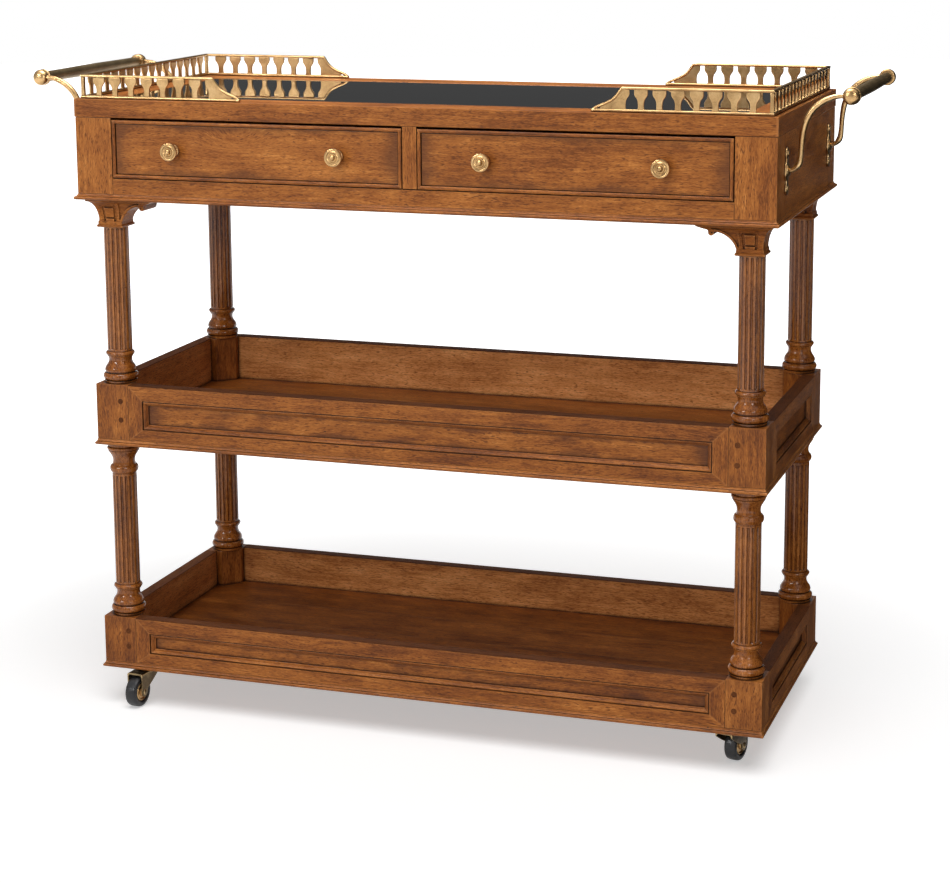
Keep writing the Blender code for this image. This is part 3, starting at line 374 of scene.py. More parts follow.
def wood(name, tones, knots, painted_shade, worn_and_lit_edges, roughness, shine):
    """Lacquered wood with figure, streaks, pores and pin knots, painted shade at its board ends and in its corners and
    grooves, and sharp edges painted lighter, partly wear and partly painted highlight.
    """
    material, tree, shader = new_material(name, Specular_IOR_Level=shine)
    board = stored(tree, "board")

    cell = add(tree, "TexVoronoi", {"Vector": stretch(board, (1.0, 2.6, 2.6)), "Scale": 3.6})
    chance = has_knot(cell, knots)
    near_knot = times(span(cell.outputs["Distance"], 0.02, 0.30, 1.0, 0.0), chance)

    sway = noise(stretch(board, (1.6, 9.0, 9.0)), 2.0, 3.0)
    sway = times(calc("SUBTRACT", sway, 0.5), 0.030)
    parts = add(tree, "SeparateXYZ", {0: board})
    across = plus(plus(parts.outputs[1], sway), times(near_knot, 0.022))
    through = plus(times(parts.outputs[0], 0.045), parts.outputs[2])
    through = plus(plus(through, 0.035), sway)
    flow = add(tree, "CombineXYZ", {0: parts.outputs[0], 1: across, 2: parts.outputs[2]}).outputs[0]
    spoke = add(tree, "CombineXYZ", {0: across, 1: through}).outputs[0]
    radius = add(tree, "VectorMath", {0: spoke}, operation="LENGTH").outputs["Value"]
    rings = calc("SINE", times(radius, 760.0))

    mottle = noise(stretch(flow, (2.2, 13.0, 13.0)), 2.2, 4.0, 0.6)
    streak = noise(stretch(flow, (1.0, 16.0, 16.0)), 12.0, 3.0, 0.65)
    fibre = noise(stretch(flow, (1.0, 14.0, 14.0)), 58.0, 2.0, 0.6)
    cloud = noise(stretch(board, (9.0, 16.0, 16.0)), 2.0, 3.0, 0.55)
    grit = noise(stretch(flow, (1.0, 5.5, 5.5)), 170.0, 2.0, 0.6)
    figure = times(mottle, 0.85)
    for layer, weight in ((streak, 0.60), (fibre, 0.75), (cloud, 0.70), (grit, 0.80), (rings, 0.030)):
        figure = plus(figure, times(layer, weight))
    colour = ramp(plus(calc("SUBTRACT", figure, 1.34), stored(tree, "tone", "Fac")), tones)

    pores = span(noise(stretch(flow, (1.0, 6.5, 6.5)), 115.0, 1.0), 0.58, 0.68)
    colour = mix(times(pores, 0.72), colour, tones[0])
    pin = add(tree, "TexVoronoi", {"Vector": board, "Scale": 26.0})
    pins = times(has_knot(pin, knots), span(pin.outputs["Distance"], 0.022, 0.046, 1.0, 0.0))
    colour = mix(times(pins, 0.85), colour, KNOT_AND_SHADE_COLOUR)
    heart = times(span(cell.outputs["Distance"], 0.03, 0.10, 1.0, 0.0), chance)
    colour = mix(times(heart, 0.75), colour, KNOT_AND_SHADE_COLOUR)

    # Painted shade towards the board's ends and sides
    colour = mix(times(painted_end_shade(tree, cloud), 0.72), colour, END_SHADE_COLOUR)
    # Sharp edges painted lighter: partly wear, partly painted highlight
    edge_wear_and_highlight = times(span(ridges(tree, 0.0030), 0.12, 0.62), worn_and_lit_edges)
    colour = mix(edge_wear_and_highlight, colour, WORN_AND_LIT_EDGE)
    # Painted shade in corners, grooves and along neighbouring parts
    corner, wide = hollows(tree, 0.0065, False), hollows(tree, 0.0300, False)
    corner_shade = plus(span(corner, 0.08, 0.58), times(span(wide, 0.25, 0.9), 0.35))
    corner_shade = times(times(corner_shade, span(noise(board, 26.0, 2.0), 0.25, 0.60, 0.65, 1.0)), painted_shade)
    colour = mix(calc("MINIMUM", corner_shade, 0.93), colour, KNOT_AND_SHADE_COLOUR)

    relief = bump(plus(times(pores, -0.6), fibre), 0.22, 0.0004)
    wire(shader, {"Base Color": colour, "Roughness": plus(times(streak, 0.16), roughness), "Normal": relief})
    return material


def metal(name, tones, roughness, patina, grit):
    """Cast or drawn metal with cloudy tarnish, darkened hollows, a faint cast skin, and sharp edges painted lighter,
    partly wear and partly painted highlight.
    """
    material, tree, shader = new_material(name, Metallic=1.0)
    place = add(tree, "TexCoord").outputs["Object"]
    cloud, speck = noise(place, 38.0, 4.0, 0.6), noise(place, 420.0, 3.0, 0.6)
    value = plus(times(cloud, 1.3), times(speck, 0.5))
    colour = ramp(calc("SUBTRACT", value, 0.40), tones)
    corner = span(hollows(tree, 0.0050, True), 0.15, 0.85)
    # Sharp edges painted lighter: partly wear, partly painted highlight
    edge_wear_and_highlight = span(ridges(tree, 0.0016), 0.15, 0.70)
    colour = mix(times(edge_wear_and_highlight, 0.60), colour, BRIGHT_EDGE)
    colour = mix(times(corner, patina), colour, METAL_GLAZE)
    gloss = plus(plus(times(speck, 0.22), roughness - 0.11), times(corner, 0.25))
    wire(shader, {"Base Color": colour, "Roughness": gloss, "Normal": bump(plus(cloud, speck), grit, 0.0006)})
    return material


def black_glass(name):
    """Back-painted glass with faint wiping marks."""
    material, tree, shader = new_material(name, IOR=1.5)
    smear = noise(stretch(add(tree, "TexCoord").outputs["Object"], (1.0, 3.5, 1.0)), 3.0, 4.0, 0.55)
    wire(shader, {"Base Color": ramp(smear, GLASS_TONES), "Roughness": span(smear, 0.35, 0.75, 0.015, 0.055)})
    return material


def rubber(name):
    """Black rubber, paler where it has rolled."""
    material, tree, shader = new_material(name)
    scuff = noise(stretch(add(tree, "TexCoord").outputs["Object"], (1.0, 1.0, 1.6)), 90.0, 4.0, 0.65)
    colour = mix(span(scuff, 0.48, 0.75), *RUBBER_TONES)
    wire(shader, {"Base Color": colour, "Roughness": span(scuff, 0.3, 0.7, 0.30, 0.56),
                  "Normal": bump(scuff, 0.3, 0.0006)})
    return material


MATERIALS = {
    "walnut": wood("walnut", WALNUT_TONES, 0.45, 0.95, 0.30, 0.32, 0.24),
    "walnut_painted_lit": wood("walnut_painted_lit", PAINTED_LIT_TONES, 0.50, 0.90, 0.40, 0.34, 0.20),
    "walnut_turned": wood("walnut_turned", TURNED_TONES, 0.25, 1.00, 0.85, 0.06, 0.34),
    "walnut_carved": wood("walnut_carved", TURNED_TONES, 0.25, 1.00, 0.90, 0.34, 0.14),
    "walnut_dark": wood("walnut_dark", DARK_TONES, 0.0, 0.50, 0.0, 0.55, 0.12),
    "drawer_wood": wood("drawer_wood", PLAIN_TONES, 0.3, 0.25, 0.0, 0.48, 0.25),
    "cast_brass": metal("cast_brass", BRASS_TONES, 0.32, 0.90, 0.30),
    "bronze": metal("bronze", BRONZE_TONES, 0.44, 0.60, 0.12),
    "plated_steel": metal("plated_steel", STEEL_TONES, 0.36, 0.80, 0.20),
    "black_glass": black_glass("black_glass"),
    "black_rubber": rubber("black_rubber"),
}


# Pieces

def link_object(name, data):
    """A new object in the scene."""
    obj = bpy.data.objects.new(name, data)
    bpy.context.scene.collection.objects.link(obj)
    return obj


def mesh_object(name, bm):
    """A new object that takes the mesh over."""
    mesh = bpy.data.meshes.new(name)
    bm.to_mesh(mesh)
    bm.free()
    return link_object(name, mesh)


def place(name, bm, finish, body, nodes=(), fibre=None, tone=0.0, end_shade=0.0):
    """Makes a piece of the mesh, finishes it, and seats it on its body in the nodes' place.

    The fibre is (axis along the grain, axis through the board). The end shade is how far painted shade darkens the
    board's ends.
    """
    bmesh.ops.recalc_face_normals(bm, faces=bm.faces)
    obj = mesh_object(name, bm)
    obj.data.shade_smooth()
    obj.data.set_sharp_from_angle(angle=math.radians(SMOOTH_ANGLE))
    obj.data.materials.append(MATERIALS[finish])
    if fibre is not None:
        write_grain(obj.data, name, fibre, tone, end_shade)
    obj.modifiers.new("flat_faces", "WEIGHTED_NORMAL").keep_sharp = True
    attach(obj, body)
    if nodes:
        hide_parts(*nodes)
    return obj


def plank(name, ends, edge, node, fibre=None, tone=0.0, end_shade=0.0, finish="walnut", body="cart"):
    """A piece that is one plain board between two opposite corners."""
    return place(name, board(*ends, edge), finish, body, [node], fibre, tone, end_shade)


def place_frame(prefix, labels, levels, put, fibres, node, tone=0.0, body="cart"):
    """Four mitred members. The first and third have the first fibre, and the others the second."""
    for side, (label, bm) in enumerate(zip(labels, mitred(levels, put))):
        place(prefix + label, bm, "walnut", body, [node], fibres[side % 2], tone)


def write_grain(mesh, name, fibre, tone, end_shade):
    """Stores each vertex's place in its board, moved by an amount that is the piece's own, and the piece's tone."""
    along, through = fibre
    order = (along, 3 - along - through, through)
    chance = random.Random(name)
    shift = (chance.uniform(-9, 9), chance.uniform(-0.05, 0.05), chance.uniform(-0.02, 0.05))
    own_tone = tone + chance.uniform(-OWN_TONE, OWN_TONE)
    corners = [[vertex.co[axis] for axis in order] for vertex in mesh.vertices]
    low, high = [min(row) for row in zip(*corners)], [max(row) for row in zip(*corners)]
    middle = [(one + two) / 2 for one, two in zip(low, high)]
    half = [(two - one) / 2 for one, two in zip(low, high)]
    vectors = {"board": [co + move for row in corners for co, move in zip(row, shift)],
               "spot": [co - mid for row in corners for co, mid in zip(row, middle)],
               "half": half * len(corners)}
    values = {"tone": own_tone, "painted_end_shade": end_shade}
    for label, data in vectors.items():
        mesh.attributes.new(label, "FLOAT_VECTOR", "POINT").data.foreach_set("vector", data)
    for label, value in values.items():
        mesh.attributes.new(label, "FLOAT", "POINT").data.foreach_set("value", [value] * len(corners))


def joined(meshes):
    """Several meshes as one."""
    whole = bmesh.new()
    for bm in meshes:
        mesh = bpy.data.meshes.new("part")
        bm.to_mesh(mesh)
        bm.free()
        whole.from_mesh(mesh)
        bpy.data.meshes.remove(mesh)
    return whole


def moved(bm, matrix):
    """The mesh moved by a matrix."""
    bmesh.ops.transform(bm, matrix=matrix, verts=bm.verts)
    return bm


def copied(bm, matrix=Matrix.Identity(4)):
    """A moved copy of the mesh."""
    return moved(bm.copy(), matrix)


def turned(degrees, axis):
    """A turn about an axis through the origin."""
    return Matrix.Rotation(math.radians(degrees), 4, axis)


def seated(x, y, z, degrees=0, axis="Z"):
    """A turn about an axis and then a move to a place."""
    return Matrix.Translation((x, y, z)) @ turned(degrees, axis)


def middle(node):
    """The middle of a node's box."""
    low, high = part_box(node)
    return (low + high) / 2


def mirrored(half):
    """An outline's right half, given upwards, and its mirror image back down."""
    return half + [(-x, z) for x, z in reversed(half)]


def eased(bm, edge):
    """The mesh with all its edges rounded."""
    if edge:
        bmesh.ops.bevel(bm, geom=list(bm.edges), offset=edge, segments=2, affect="EDGES", profile=0.5)
    return bm


def board(near, far, edge):
    """A board between two opposite corners with its edges eased."""
    bm = bmesh.new()
    bmesh.ops.create_cube(bm, size=1.0)
    ends = [sorted(pair) for pair in zip(near, far)]
    for vert in bm.verts:
        vert.co = [ends[k][0 if vert.co[k] < 0 else 1] for k in range(3)]
    return eased(bm, edge)


def prism(outline, start, length, axis, edge=0.0):
    """A closed outline extruded along an axis. The outline lies in the other two axes, in order."""
    bm = bmesh.new()
    verts = []
    for pair in outline:
        point = list(pair)
        point.insert(axis, start)
        verts.append(bm.verts.new(point))
    grown = bmesh.ops.extrude_face_region(bm, geom=[bm.faces.new(verts)])
    shift = Vector((0, 0, 0))
    shift[axis] = length
    far = [item for item in grown["geom"] if isinstance(item, bmesh.types.BMVert)]
    bmesh.ops.translate(bm, verts=far, vec=shift)
    return eased(bm, edge)


def skin(rings, closed=False):
    """A mesh over rings of points, with an end on the first and the last, or closed upon itself.

    A ring of one point is a pole.
    """
    bm = bmesh.new()
    rows = [[bm.verts.new(point) for point in ring] for ring in rings]
    if closed:
        rows.append(rows[0])
    for one, two in zip(rows, rows[1:]):
        for k in range(max(len(one), len(two))):
            quad = (one[(k - 1) % len(one)], one[k % len(one)], two[k % len(two)], two[(k - 1) % len(two)])
            bm.faces.new(list(dict.fromkeys(quad)))
    for row in () if closed else (rows[0], rows[-1]):
        if len(row) > 1:
            bm.faces.new(row)
    return bm


def mitred(levels, put):
    """Four members of a rectangular frame, mitred at the corners.

    Each level is a point of the members' section as (left, foot, right, top, depth), which are the rectangle's
    sides at that point. The put function turns (across, up, depth) into a place.
    """
    corners = [[put(x, y, depth) for x, y in ((left, foot), (right, foot), (right, top), (left, top))]
               for left, foot, right, top, depth in levels]
    ends = list(zip(*corners))
    return [skin((ends[side], ends[(side + 1) % 4])) for side in range(4)]


def full_turn(sides):
    """The angles of a circle's points."""
    return [2 * math.pi * k / sides for k in range(sides)]


def lathe(profile, sides=48, wave=None):
    """A profile of (radius, height) points spun round Z. The wave function is how deep it is cut at each place."""
    rings = []
    for radius, height in profile:
        ring = []
        for turn in full_turn(sides) if radius >= HAIR else (0.0,):
            out = radius - wave(turn, height) if wave and radius >= HAIR else radius
            ring.append((out * math.cos(turn), out * math.sin(turn), height))
        rings.append(ring)
    return skin(rings)


def ring_lathe(section):
    """A closed section of (radius, height) points spun round Z into a ring."""
    return skin([[(r * math.cos(turn), r * math.sin(turn), z) for r, z in section] for turn in full_turn(WHEEL_SIDES)],
                True)


def curve_through(points, steps):
    """A smooth curve through points in two or three dimensions, with so many steps from each to the next."""
    points = [Vector(p) for p in points]
    padded = [2 * points[0] - points[1]] + points + [2 * points[-1] - points[-2]]
    result = []
    for k in range(1, len(padded) - 2):
        a, b, c, d = padded[k - 1:k + 3]
        for step in range(steps):
            t = step / steps
            result.append(0.5 * (2 * b + (c - a) * t + (2 * a - 5 * b + 4 * c - d) * t ** 2
                                 + (3 * b - a - 3 * c + d) * t ** 3))
    return [tuple(p) for p in result + [points[-1]]]


def arc(centre, radius, start, end, steps):
    """Points of an arc, angles in degrees."""
    turns = [math.radians(start + (end - start) * k / steps) for k in range(steps + 1)]
    return [(centre[0] + radius * math.cos(t), centre[1] + radius * math.sin(t)) for t in turns]


def tube(route, radii, sides):
    """A round rod along a route in three dimensions with a radius at each point."""
    route = [Vector(p) for p in route]
    rings = []
    side = Vector((0, 1, 0))
    for k, point in enumerate(route):
        along = (route[min(k + 1, len(route) - 1)] - route[max(k - 1, 0)]).normalized()
        side = (side - along * side.dot(along)).normalized()
        other = along.cross(side)
        rings.append([point + radii[k] * (side * math.cos(turn) + other * math.sin(turn))
                      for turn in full_turn(sides)])
    return skin(rings)


def swept(route, up, section):
    """A closed section of (across, upward) points along a flat route, mitred at its corners."""
    route, up = [Vector(p) for p in route], Vector(up)
    rings = []
    for k, point in enumerate(route):
        before = (point - route[k - 1]).normalized() if k else None
        after = (route[k + 1] - point).normalized() if k < len(route) - 1 else None
        before, after = before or after, after or before
        out_before, out_after = before.cross(up), after.cross(up)
        out = (out_before + out_after).normalized()
        out = out / max(0.3, out.dot(out_after))
        rings.append([point + out * x + up * z for x, z in section])
    return skin(rings)


def rounded(width, height, radius):
    """A rectangle of a width and height about zero, its corners rounded."""
    x, z = width / 2 - radius, height / 2 - radius
    points = []
    for corner, start in (((x, z), 0), ((-x, z), 90), ((-x, -z), 180), ((x, -z), 270)):
        points += arc(corner, radius, start, start + 90, 4)
    return points


def plate(outline, thickness, edge, axis=1):
    """A flat casting on an outline, with both its rims rounded, centred on zero along the axis."""
    points = [Vector(p) for p in outline]
    count = len(points)
    area = sum(points[k - 1].x * points[k].y - points[k].x * points[k - 1].y for k in range(count))
    hand = 1.0 if area > 0 else -1.0
    inward = []
    for k in range(count):
        before, after = (points[k] - points[k - 1]).normalized(), (points[(k + 1) % count] - points[k]).normalized()
        near, far = Vector((-before.y, before.x)), Vector((-after.y, after.x))
        aside = (near + far).normalized()
        inward.append(hand * aside / max(0.5, aside.dot(far)))
    half = thickness / 2
    rings = []
    for inset, depth in ((edge, -half), (0.3 * edge, -half + 0.3 * edge), (0, edge - half),
                         (0, half - edge), (0.3 * edge, half - 0.3 * edge), (edge, half)):
        ring = [list(point + aside * inset) for point, aside in zip(points, inward)]
        for spot in ring:
            spot.insert(axis, depth)
        rings.append(ring)
    return skin(rings)


def combined(first, others, operation, voxel=0.0):
    """Solids combined by Boolean modifiers. A voxel size softens the result as if carved by hand."""
    objects = []
    for bm in (first, *others):
        bmesh.ops.recalc_face_normals(bm, faces=bm.faces)
        objects.append(mesh_object("operand", bm))
    base = objects[0]
    for tool in objects[1:]:
        modifier = base.modifiers.new("boolean", "BOOLEAN")
        modifier.operation, modifier.solver, modifier.object = operation, "EXACT", tool
    if voxel:
        remesh = base.modifiers.new("remesh", "REMESH")
        remesh.mode, remesh.voxel_size = "VOXEL", voxel
        base.modifiers.new("smooth", "SMOOTH").iterations = CARVE_SMOOTH
    bpy.context.view_layer.update()
    result = bmesh.new()
    result.from_object(base, bpy.context.evaluated_depsgraph_get())
    for obj in objects:
        bpy.data.objects.remove(obj, do_unlink=True)
    return result


# Trays

def panel_levels(across, up, depth):
    """The section of a wall's frame member: eased outer edge, flat, quirk, bead and ogee down to the field."""
    section = [(0, 0, depth), (0, 0, FINE_EDGE), (0, FINE_EDGE, 0), (1, 0, 0),
               (1, 0.3 * QUIRK_WIDTH, QUIRK_DEPTH), (1, 0.9 * QUIRK_WIDTH, QUIRK_DEPTH)]
    start = QUIRK_WIDTH
    for x, z in arc((0, 0), 1.0, 180, 0, 6):
        section.append((1, start + (1 + x) * BEAD_WIDTH / 2, QUIRK_DEPTH - z * BEAD_RISE))
    start += BEAD_WIDTH
    for k in range(1, 7):
        share = k / 6
        fall = OGEE_SHARE * (FIELD_SINK - QUIRK_DEPTH) * (0.5 - 0.5 * math.cos(math.pi * share))
        section.append((1, start + OGEE_WIDTH * share, QUIRK_DEPTH + fall))
    section.append((1, start + OGEE_WIDTH, depth))
    left, foot, right, top = PANEL_MARGINS
    return [(across[0] + left * flat + extra, up[0] + foot * flat + extra,
             across[1] - right * flat - extra, up[1] - top * flat - extra, deep) for flat, extra, deep in section]


def tray_wall(name, across, up, put, along, inner):
    """A tray wall: four mitred members round a field, a lining board behind them and a dark strip on top."""
    through = 1 - along
    low_up, high_up = up[0], up[1] - CAP_STRIP
    place_frame(name + "_", ("foot", "stile_b", "head", "stile_a"), panel_levels(across, (low_up, high_up), TRAY_FRAME),
                put, ((along, through), (2, through)), name, WALL_TONE)
    start = QUIRK_WIDTH + BEAD_WIDTH + OGEE_WIDTH - EDGE
    left, foot, right, top = PANEL_MARGINS
    field = (put(across[0] + left + start, low_up + foot + start, FIELD_SINK),
             put(across[1] - right - start, high_up - top - start, TRAY_FRAME))
    plank(name + "_field", field, HAIR, name, (along, through), FIELD_TONE, FIELD_END_SHADE)
    lining = (put(across[0], low_up, TRAY_FRAME + HAIR), put(across[1], high_up, inner))
    # The lining's paler finish and tone are painted light
    plank(name + "_lining", lining, FINE_EDGE, name, (along, through), LINING_PAINTED_LIGHT, LINING_END_SHADE, "walnut_painted_lit")
    strip = (put(across[0], high_up + HAIR, 0), put(across[1], up[1], inner))
    # Strips across the cart get a paler tone, which is painted light
    plank(name + "_strip", strip, FINE_EDGE, name, (along, 2), STRIP_PAINTED_LIGHT[along], 0.0, "walnut_dark")


def moulding_levels(low, high, foot, top, overhang):
    """The section of a moulded edge from its inner face: a round nose below a cove."""
    nose = NOSE_SHARE * (top - foot)
    cove, start, ledge = (top - foot) - nose, overhang * 0.5, foot + nose
    section = [(-BASE_RAIL, foot)] + arc((overhang - nose / 2, foot + nose / 2), nose / 2, -90, 84, 8)
    section += [(start - NOSE_QUIRK, ledge), (start - NOSE_QUIRK, ledge + 0.0004)]
    for turn in (math.pi / 2 * k / 6 for k in range(7)):
        rise = (cove - 0.0006) * (1 - math.cos(turn)) * 0.999
        section.append((start - start * math.sin(turn), ledge + 0.0006 + rise))
    section.append((-BASE_RAIL, top))
    return [(low[0] - out, low[1] - out, high[0] + out, high[1] + out, z) for out, z in section]


def moulded_base(name, node, half_x, half_y, centre_y, foot, top, overhang):
    """Four mitred mouldings and the board that they frame."""
    low, high = (-half_x, centre_y - half_y), (half_x, centre_y + half_y)
    place_frame(name + "_moulding_", AROUND, moulding_levels(low, high, foot, top, overhang), as_is, LEVEL_FIBRES,
                node, MOULDING_TONE)
    inner = BASE_RAIL - HAIR
    ends = ((low[0] + inner, low[1] + inner, foot), (high[0] - inner, high[1] - inner, top))
    plank(name + "_board", ends, FINE_EDGE, node, (0, 2), BOARD_TONE)


def as_is(x, y, z):
    """The place of a frame's point where the frame lies flat."""
    return x, y, z


def make_pegs(name, post_x, face_y, foot, top, sign_x, sign_y):
    """Two dark pegs through the face of a post."""
    pegs = []
    for share in PEG_SHARES:
        peg = lathe([(0, -0.003), (PEG_RADIUS, -0.003), (PEG_RADIUS, PEG_PROUD - HAIR),
                     (PEG_RADIUS * 0.9, PEG_PROUD), (0, PEG_PROUD)], 20)
        pegs.append(moved(peg, seated(post_x - sign_x * (TRAY_POST - PEG_INSET), face_y, top - share * (top - foot),
                                      -90 * sign_y, "X")))
    place(name, joined(pegs), "walnut_dark", "cart", [], (1, 0), PEG_TONE)


def make_tray(label):
    """One open tray: moulded base, raised floor of planks, four posts and four panelled walls."""
    low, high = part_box(label + "_tray_end_right")
    node = label + "_tray_base"
    base_low, base_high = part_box(node)
    half_x, centre_y = high.x, (low.y + high.y) / 2
    half_y = high.y - centre_y
    foot, top = low.z, high.z
    moulded_base(label + "_tray", node, half_x, half_y, centre_y, base_low.z, foot - HAIR, base_high.x - half_x)

    x, y = half_x - TRAY_WALL - HAIR, half_y - TRAY_WALL - HAIR
    width = 2 * y / PLANKS
    for k in range(PLANKS):
        near = centre_y - y + k * width
        ends = ((-x, near, foot), (x, near + width - HAIR, base_high.z))
        # The middle tray's planks are painted paler than the lower tray's, which is painted light
        plank("%s_tray_plank_%d" % (label, k + 1), ends, FINE_EDGE, node, (0, 2), FLOOR_TONE_AND_PAINTED_LIGHT[label], PLANK_END_SHADE)

    cut = TRAY_POST - TRAY_POST_CHAMFER
    section = [(0, 0), (TRAY_POST, 0), (TRAY_POST, cut), (cut, TRAY_POST), (0, TRAY_POST)]
    for corner, (sign_x, sign_y) in CORNERS.items():
        node = "%s_tray_end_%s" % (label, "left" if sign_x < 0 else "right")
        post_x, face_y = sign_x * half_x, centre_y + sign_y * half_y
        bm = prism([(post_x - sign_x * a, face_y - sign_y * b) for a, b in section], foot, top - foot, 2, EDGE)
        place("%s_tray_post_%s" % (label, corner), bm, "walnut", "cart", [node], (2, 1), POST_TONE, POST_END_SHADE)
        make_pegs("%s_tray_pegs_%s" % (label, corner), post_x, face_y, foot, top, sign_x, sign_y)

    inner = half_y - TRAY_POST - HAIR
    for side, sign in SIDES.items():
        tray_wall("%s_tray_end_%s" % (label, side), (centre_y - inner, centre_y + inner), (foot, top),
                  lambda a, u, d, sign=sign: (sign * (half_x - d), a, u), 1, TRAY_WALL)
    inner = half_x - TRAY_POST - HAIR
    for side, sign in (("front", -1), ("back", 1)):
        tray_wall("%s_tray_%s" % (label, side), (-inner, inner), (foot, top),
                  lambda a, u, d, sign=sign: (a, centre_y + sign * (half_y - d), u), 0, TRAY_WALL)


# Columns

def flute_depth(turn, height, foot, top):
    """How deep the flutes cut at one turn and height, with round ends."""
    pitch = 2 * math.pi / FLUTES
    aside = ((turn + pitch / 2) % pitch - pitch / 2) * SHAFT_RADIUS
    beyond = max(foot + FLUTE_HALF - height, height - top + FLUTE_HALF, 0.0)
    left = 1.0 - (aside / FLUTE_HALF) ** 2 - (beyond / FLUTE_HALF) ** 2
    return FLUTE_SINK * math.sqrt(left) if left > 0 else 0.0


def base_profile():
    """The turned base: disc, torus, fillet, cyma, neck and astragal."""
    profile = tenths((0, 0), (250, 0), (254, 6), (254, 32), (262, 40))
    profile += arc((0.0222, 0.0100), 0.0060, -72, 80, 10) + tenths((230, 162), (230, 168))
    profile += curve_through(tenths((238, 170), (250, 184), (252, 208), (243, 240), (222, 274), (200, 308),
                                    (187, 346), (186, 380), (194, 408), (206, 424)), 4)
    profile += tenths((209, 428), (209, 436)) + arc((0.0196, 0.0470), 0.0034, -75, 75, 8)
    return profile + tenths((192, 506), (192, 512)) + [(SHAFT_RADIUS, 0.0516), (SHAFT_RADIUS, BASE_HEIGHT)]


def necking_profile(top):
    """The turned head of a lower column, hung from its top: fillet, bulb, neck and flared disc."""
    hung = [(SHAFT_RADIUS, NECKING_HEIGHT), (SHAFT_RADIUS, 0.0510)] + tenths((192, 506), (192, 498))
    hung += [(0.0180 + 0.0050 * r, 0.0425 - 0.0068 * z) for r, z in arc((0, 0), 1.0, -78, 78, 10)]
    hung += curve_through(tenths((186, 346), (179, 306), (181, 266), (193, 226), (214, 188), (236, 154), (246, 136)), 4)
    hung += tenths((250, 130), (250, 120)) + arc((0.0236, 0.0086), 0.0030, 75, -75, 8)
    return [(r, top - z) for r, z in hung + tenths((246, 52), (258, 38), (258, 0), (0, 0))]


def column(height, has_necking):
    """A turned column with stopped flutes."""
    head = height - NECKING_HEIGHT if has_necking else height
    foot, top = BASE_HEIGHT + FLUTE_MARGIN, head - FLUTE_MARGIN
    ends = [FLUTE_HALF * share for share in (0.0, 0.12, 0.3, 0.55, 1.0)]
    heights = [foot + z for z in ends] + [foot + (top - foot) * k / 6 for k in range(1, 6)]
    heights += [top - z for z in reversed(ends)]
    profile = base_profile() + [(SHAFT_RADIUS, z) for z in heights]
    profile += necking_profile(height) if has_necking else [(SHAFT_RADIUS, head), (0, head)]
    return lathe(profile, FLUTES * FLUTE_STEPS, lambda turn, level: flute_depth(turn, level, foot, top))


def make_columns():
    """Eight fluted columns, four on each tray."""
    for tier in ("lower", "upper"):
        for corner in CORNERS:
            node = "%s_column_%s" % (tier, corner)
            low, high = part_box(node)
            spot = seated(*middle(node).xy, low.z, 180 / FLUTES)
            place(node + "_turned", moved(column(high.z - low.z, tier == "lower"), spot), "walnut_turned", "cart",
                  [node], (2, 1), TURNED_TONE)


# Capitals

def flare(start, end, foot, top):
    """A concave sweep from a half width at the foot out to another at the top."""
    turns = [math.pi / 2 * k / 12 for k in range(13)]
    return [(start + (end - start) * (1 - math.cos(t)), foot + (top - foot) * math.sin(t)) for t in turns]


def capital_arch(height, grow=0.0):
    """The arch's underside from the collar out to the scroll, and the scroll's centre."""
    arch = [(-ARCH_START, COLLAR_HEIGHT)]
    arch += tenths((-236, 165), (-288, 236), (-358, 294), (-430, 329), (-500, 346), (-532, 342))
    shares = (1.00, 0.90, 0.78, 0.60, 0.38, 0.15, 0.0)
    arch = [(x + grow * out, z + grow * math.sqrt(1 - out * out)) for (x, z), out in zip(arch, shares)]
    return curve_through(arch, 4), (-SCROLL_X, height - SCROLL_DROP)


def half_collar():
    """The right half of the collar's outline: a round lip below a sloping band."""
    return [(COLLAR_HALF - 0.0012, 0.0), (COLLAR_HALF - 0.0003, 0.0006), (COLLAR_HALF, 0.0016),
            (COLLAR_HALF, COLLAR_LIP - 0.0010), (COLLAR_HALF - 0.0004, COLLAR_LIP),
            (COLLAR_HALF - 0.0018, COLLAR_LIP + 0.0003), (COLLAR_HALF - 0.0018, COLLAR_LIP + 0.0010),
            (BELL_HALF + 0.0011, COLLAR_HEIGHT - 0.0004), (BELL_HALF + 0.0006, COLLAR_HEIGHT)]


def capital_front(height):
    """Front outline of a right-hand capital: collar, flared end, abacus, lip, scroll and arch."""
    right = half_collar()
    outline = [(-x, z) for x, z in reversed(right)] + right
    outline += flare(BELL_HALF, ABACUS_HALF, COLLAR_HEIGHT, height - ABACUS_HEIGHT)
    outline += [(ABACUS_HALF, height), (-BRACKET_REACH, height)]
    arch, centre = capital_arch(height)
    lip = curve_through([(centre[0] - SCROLL_RADIUS, height - 0.0085), (-0.0660, height - 0.0072),
                         (-0.0720, height - 0.0052), (-BRACKET_REACH, height - 0.0018)], 4)
    return outline + (arch + arc(centre, SCROLL_RADIUS, 20, -190, 12) + lip)[::-1]


def capital_end(height, sink=0.0):
    """End outline of a capital, which flares both ways. The sink draws in the bell alone."""
    bell = flare(BELL_HALF - sink, ABACUS_HALF - sink, COLLAR_HEIGHT, height - ABACUS_HEIGHT)
    return mirrored(half_collar() + bell + [(ABACUS_HALF, height - ABACUS_HEIGHT + HAIR), (ABACUS_HALF, height)])


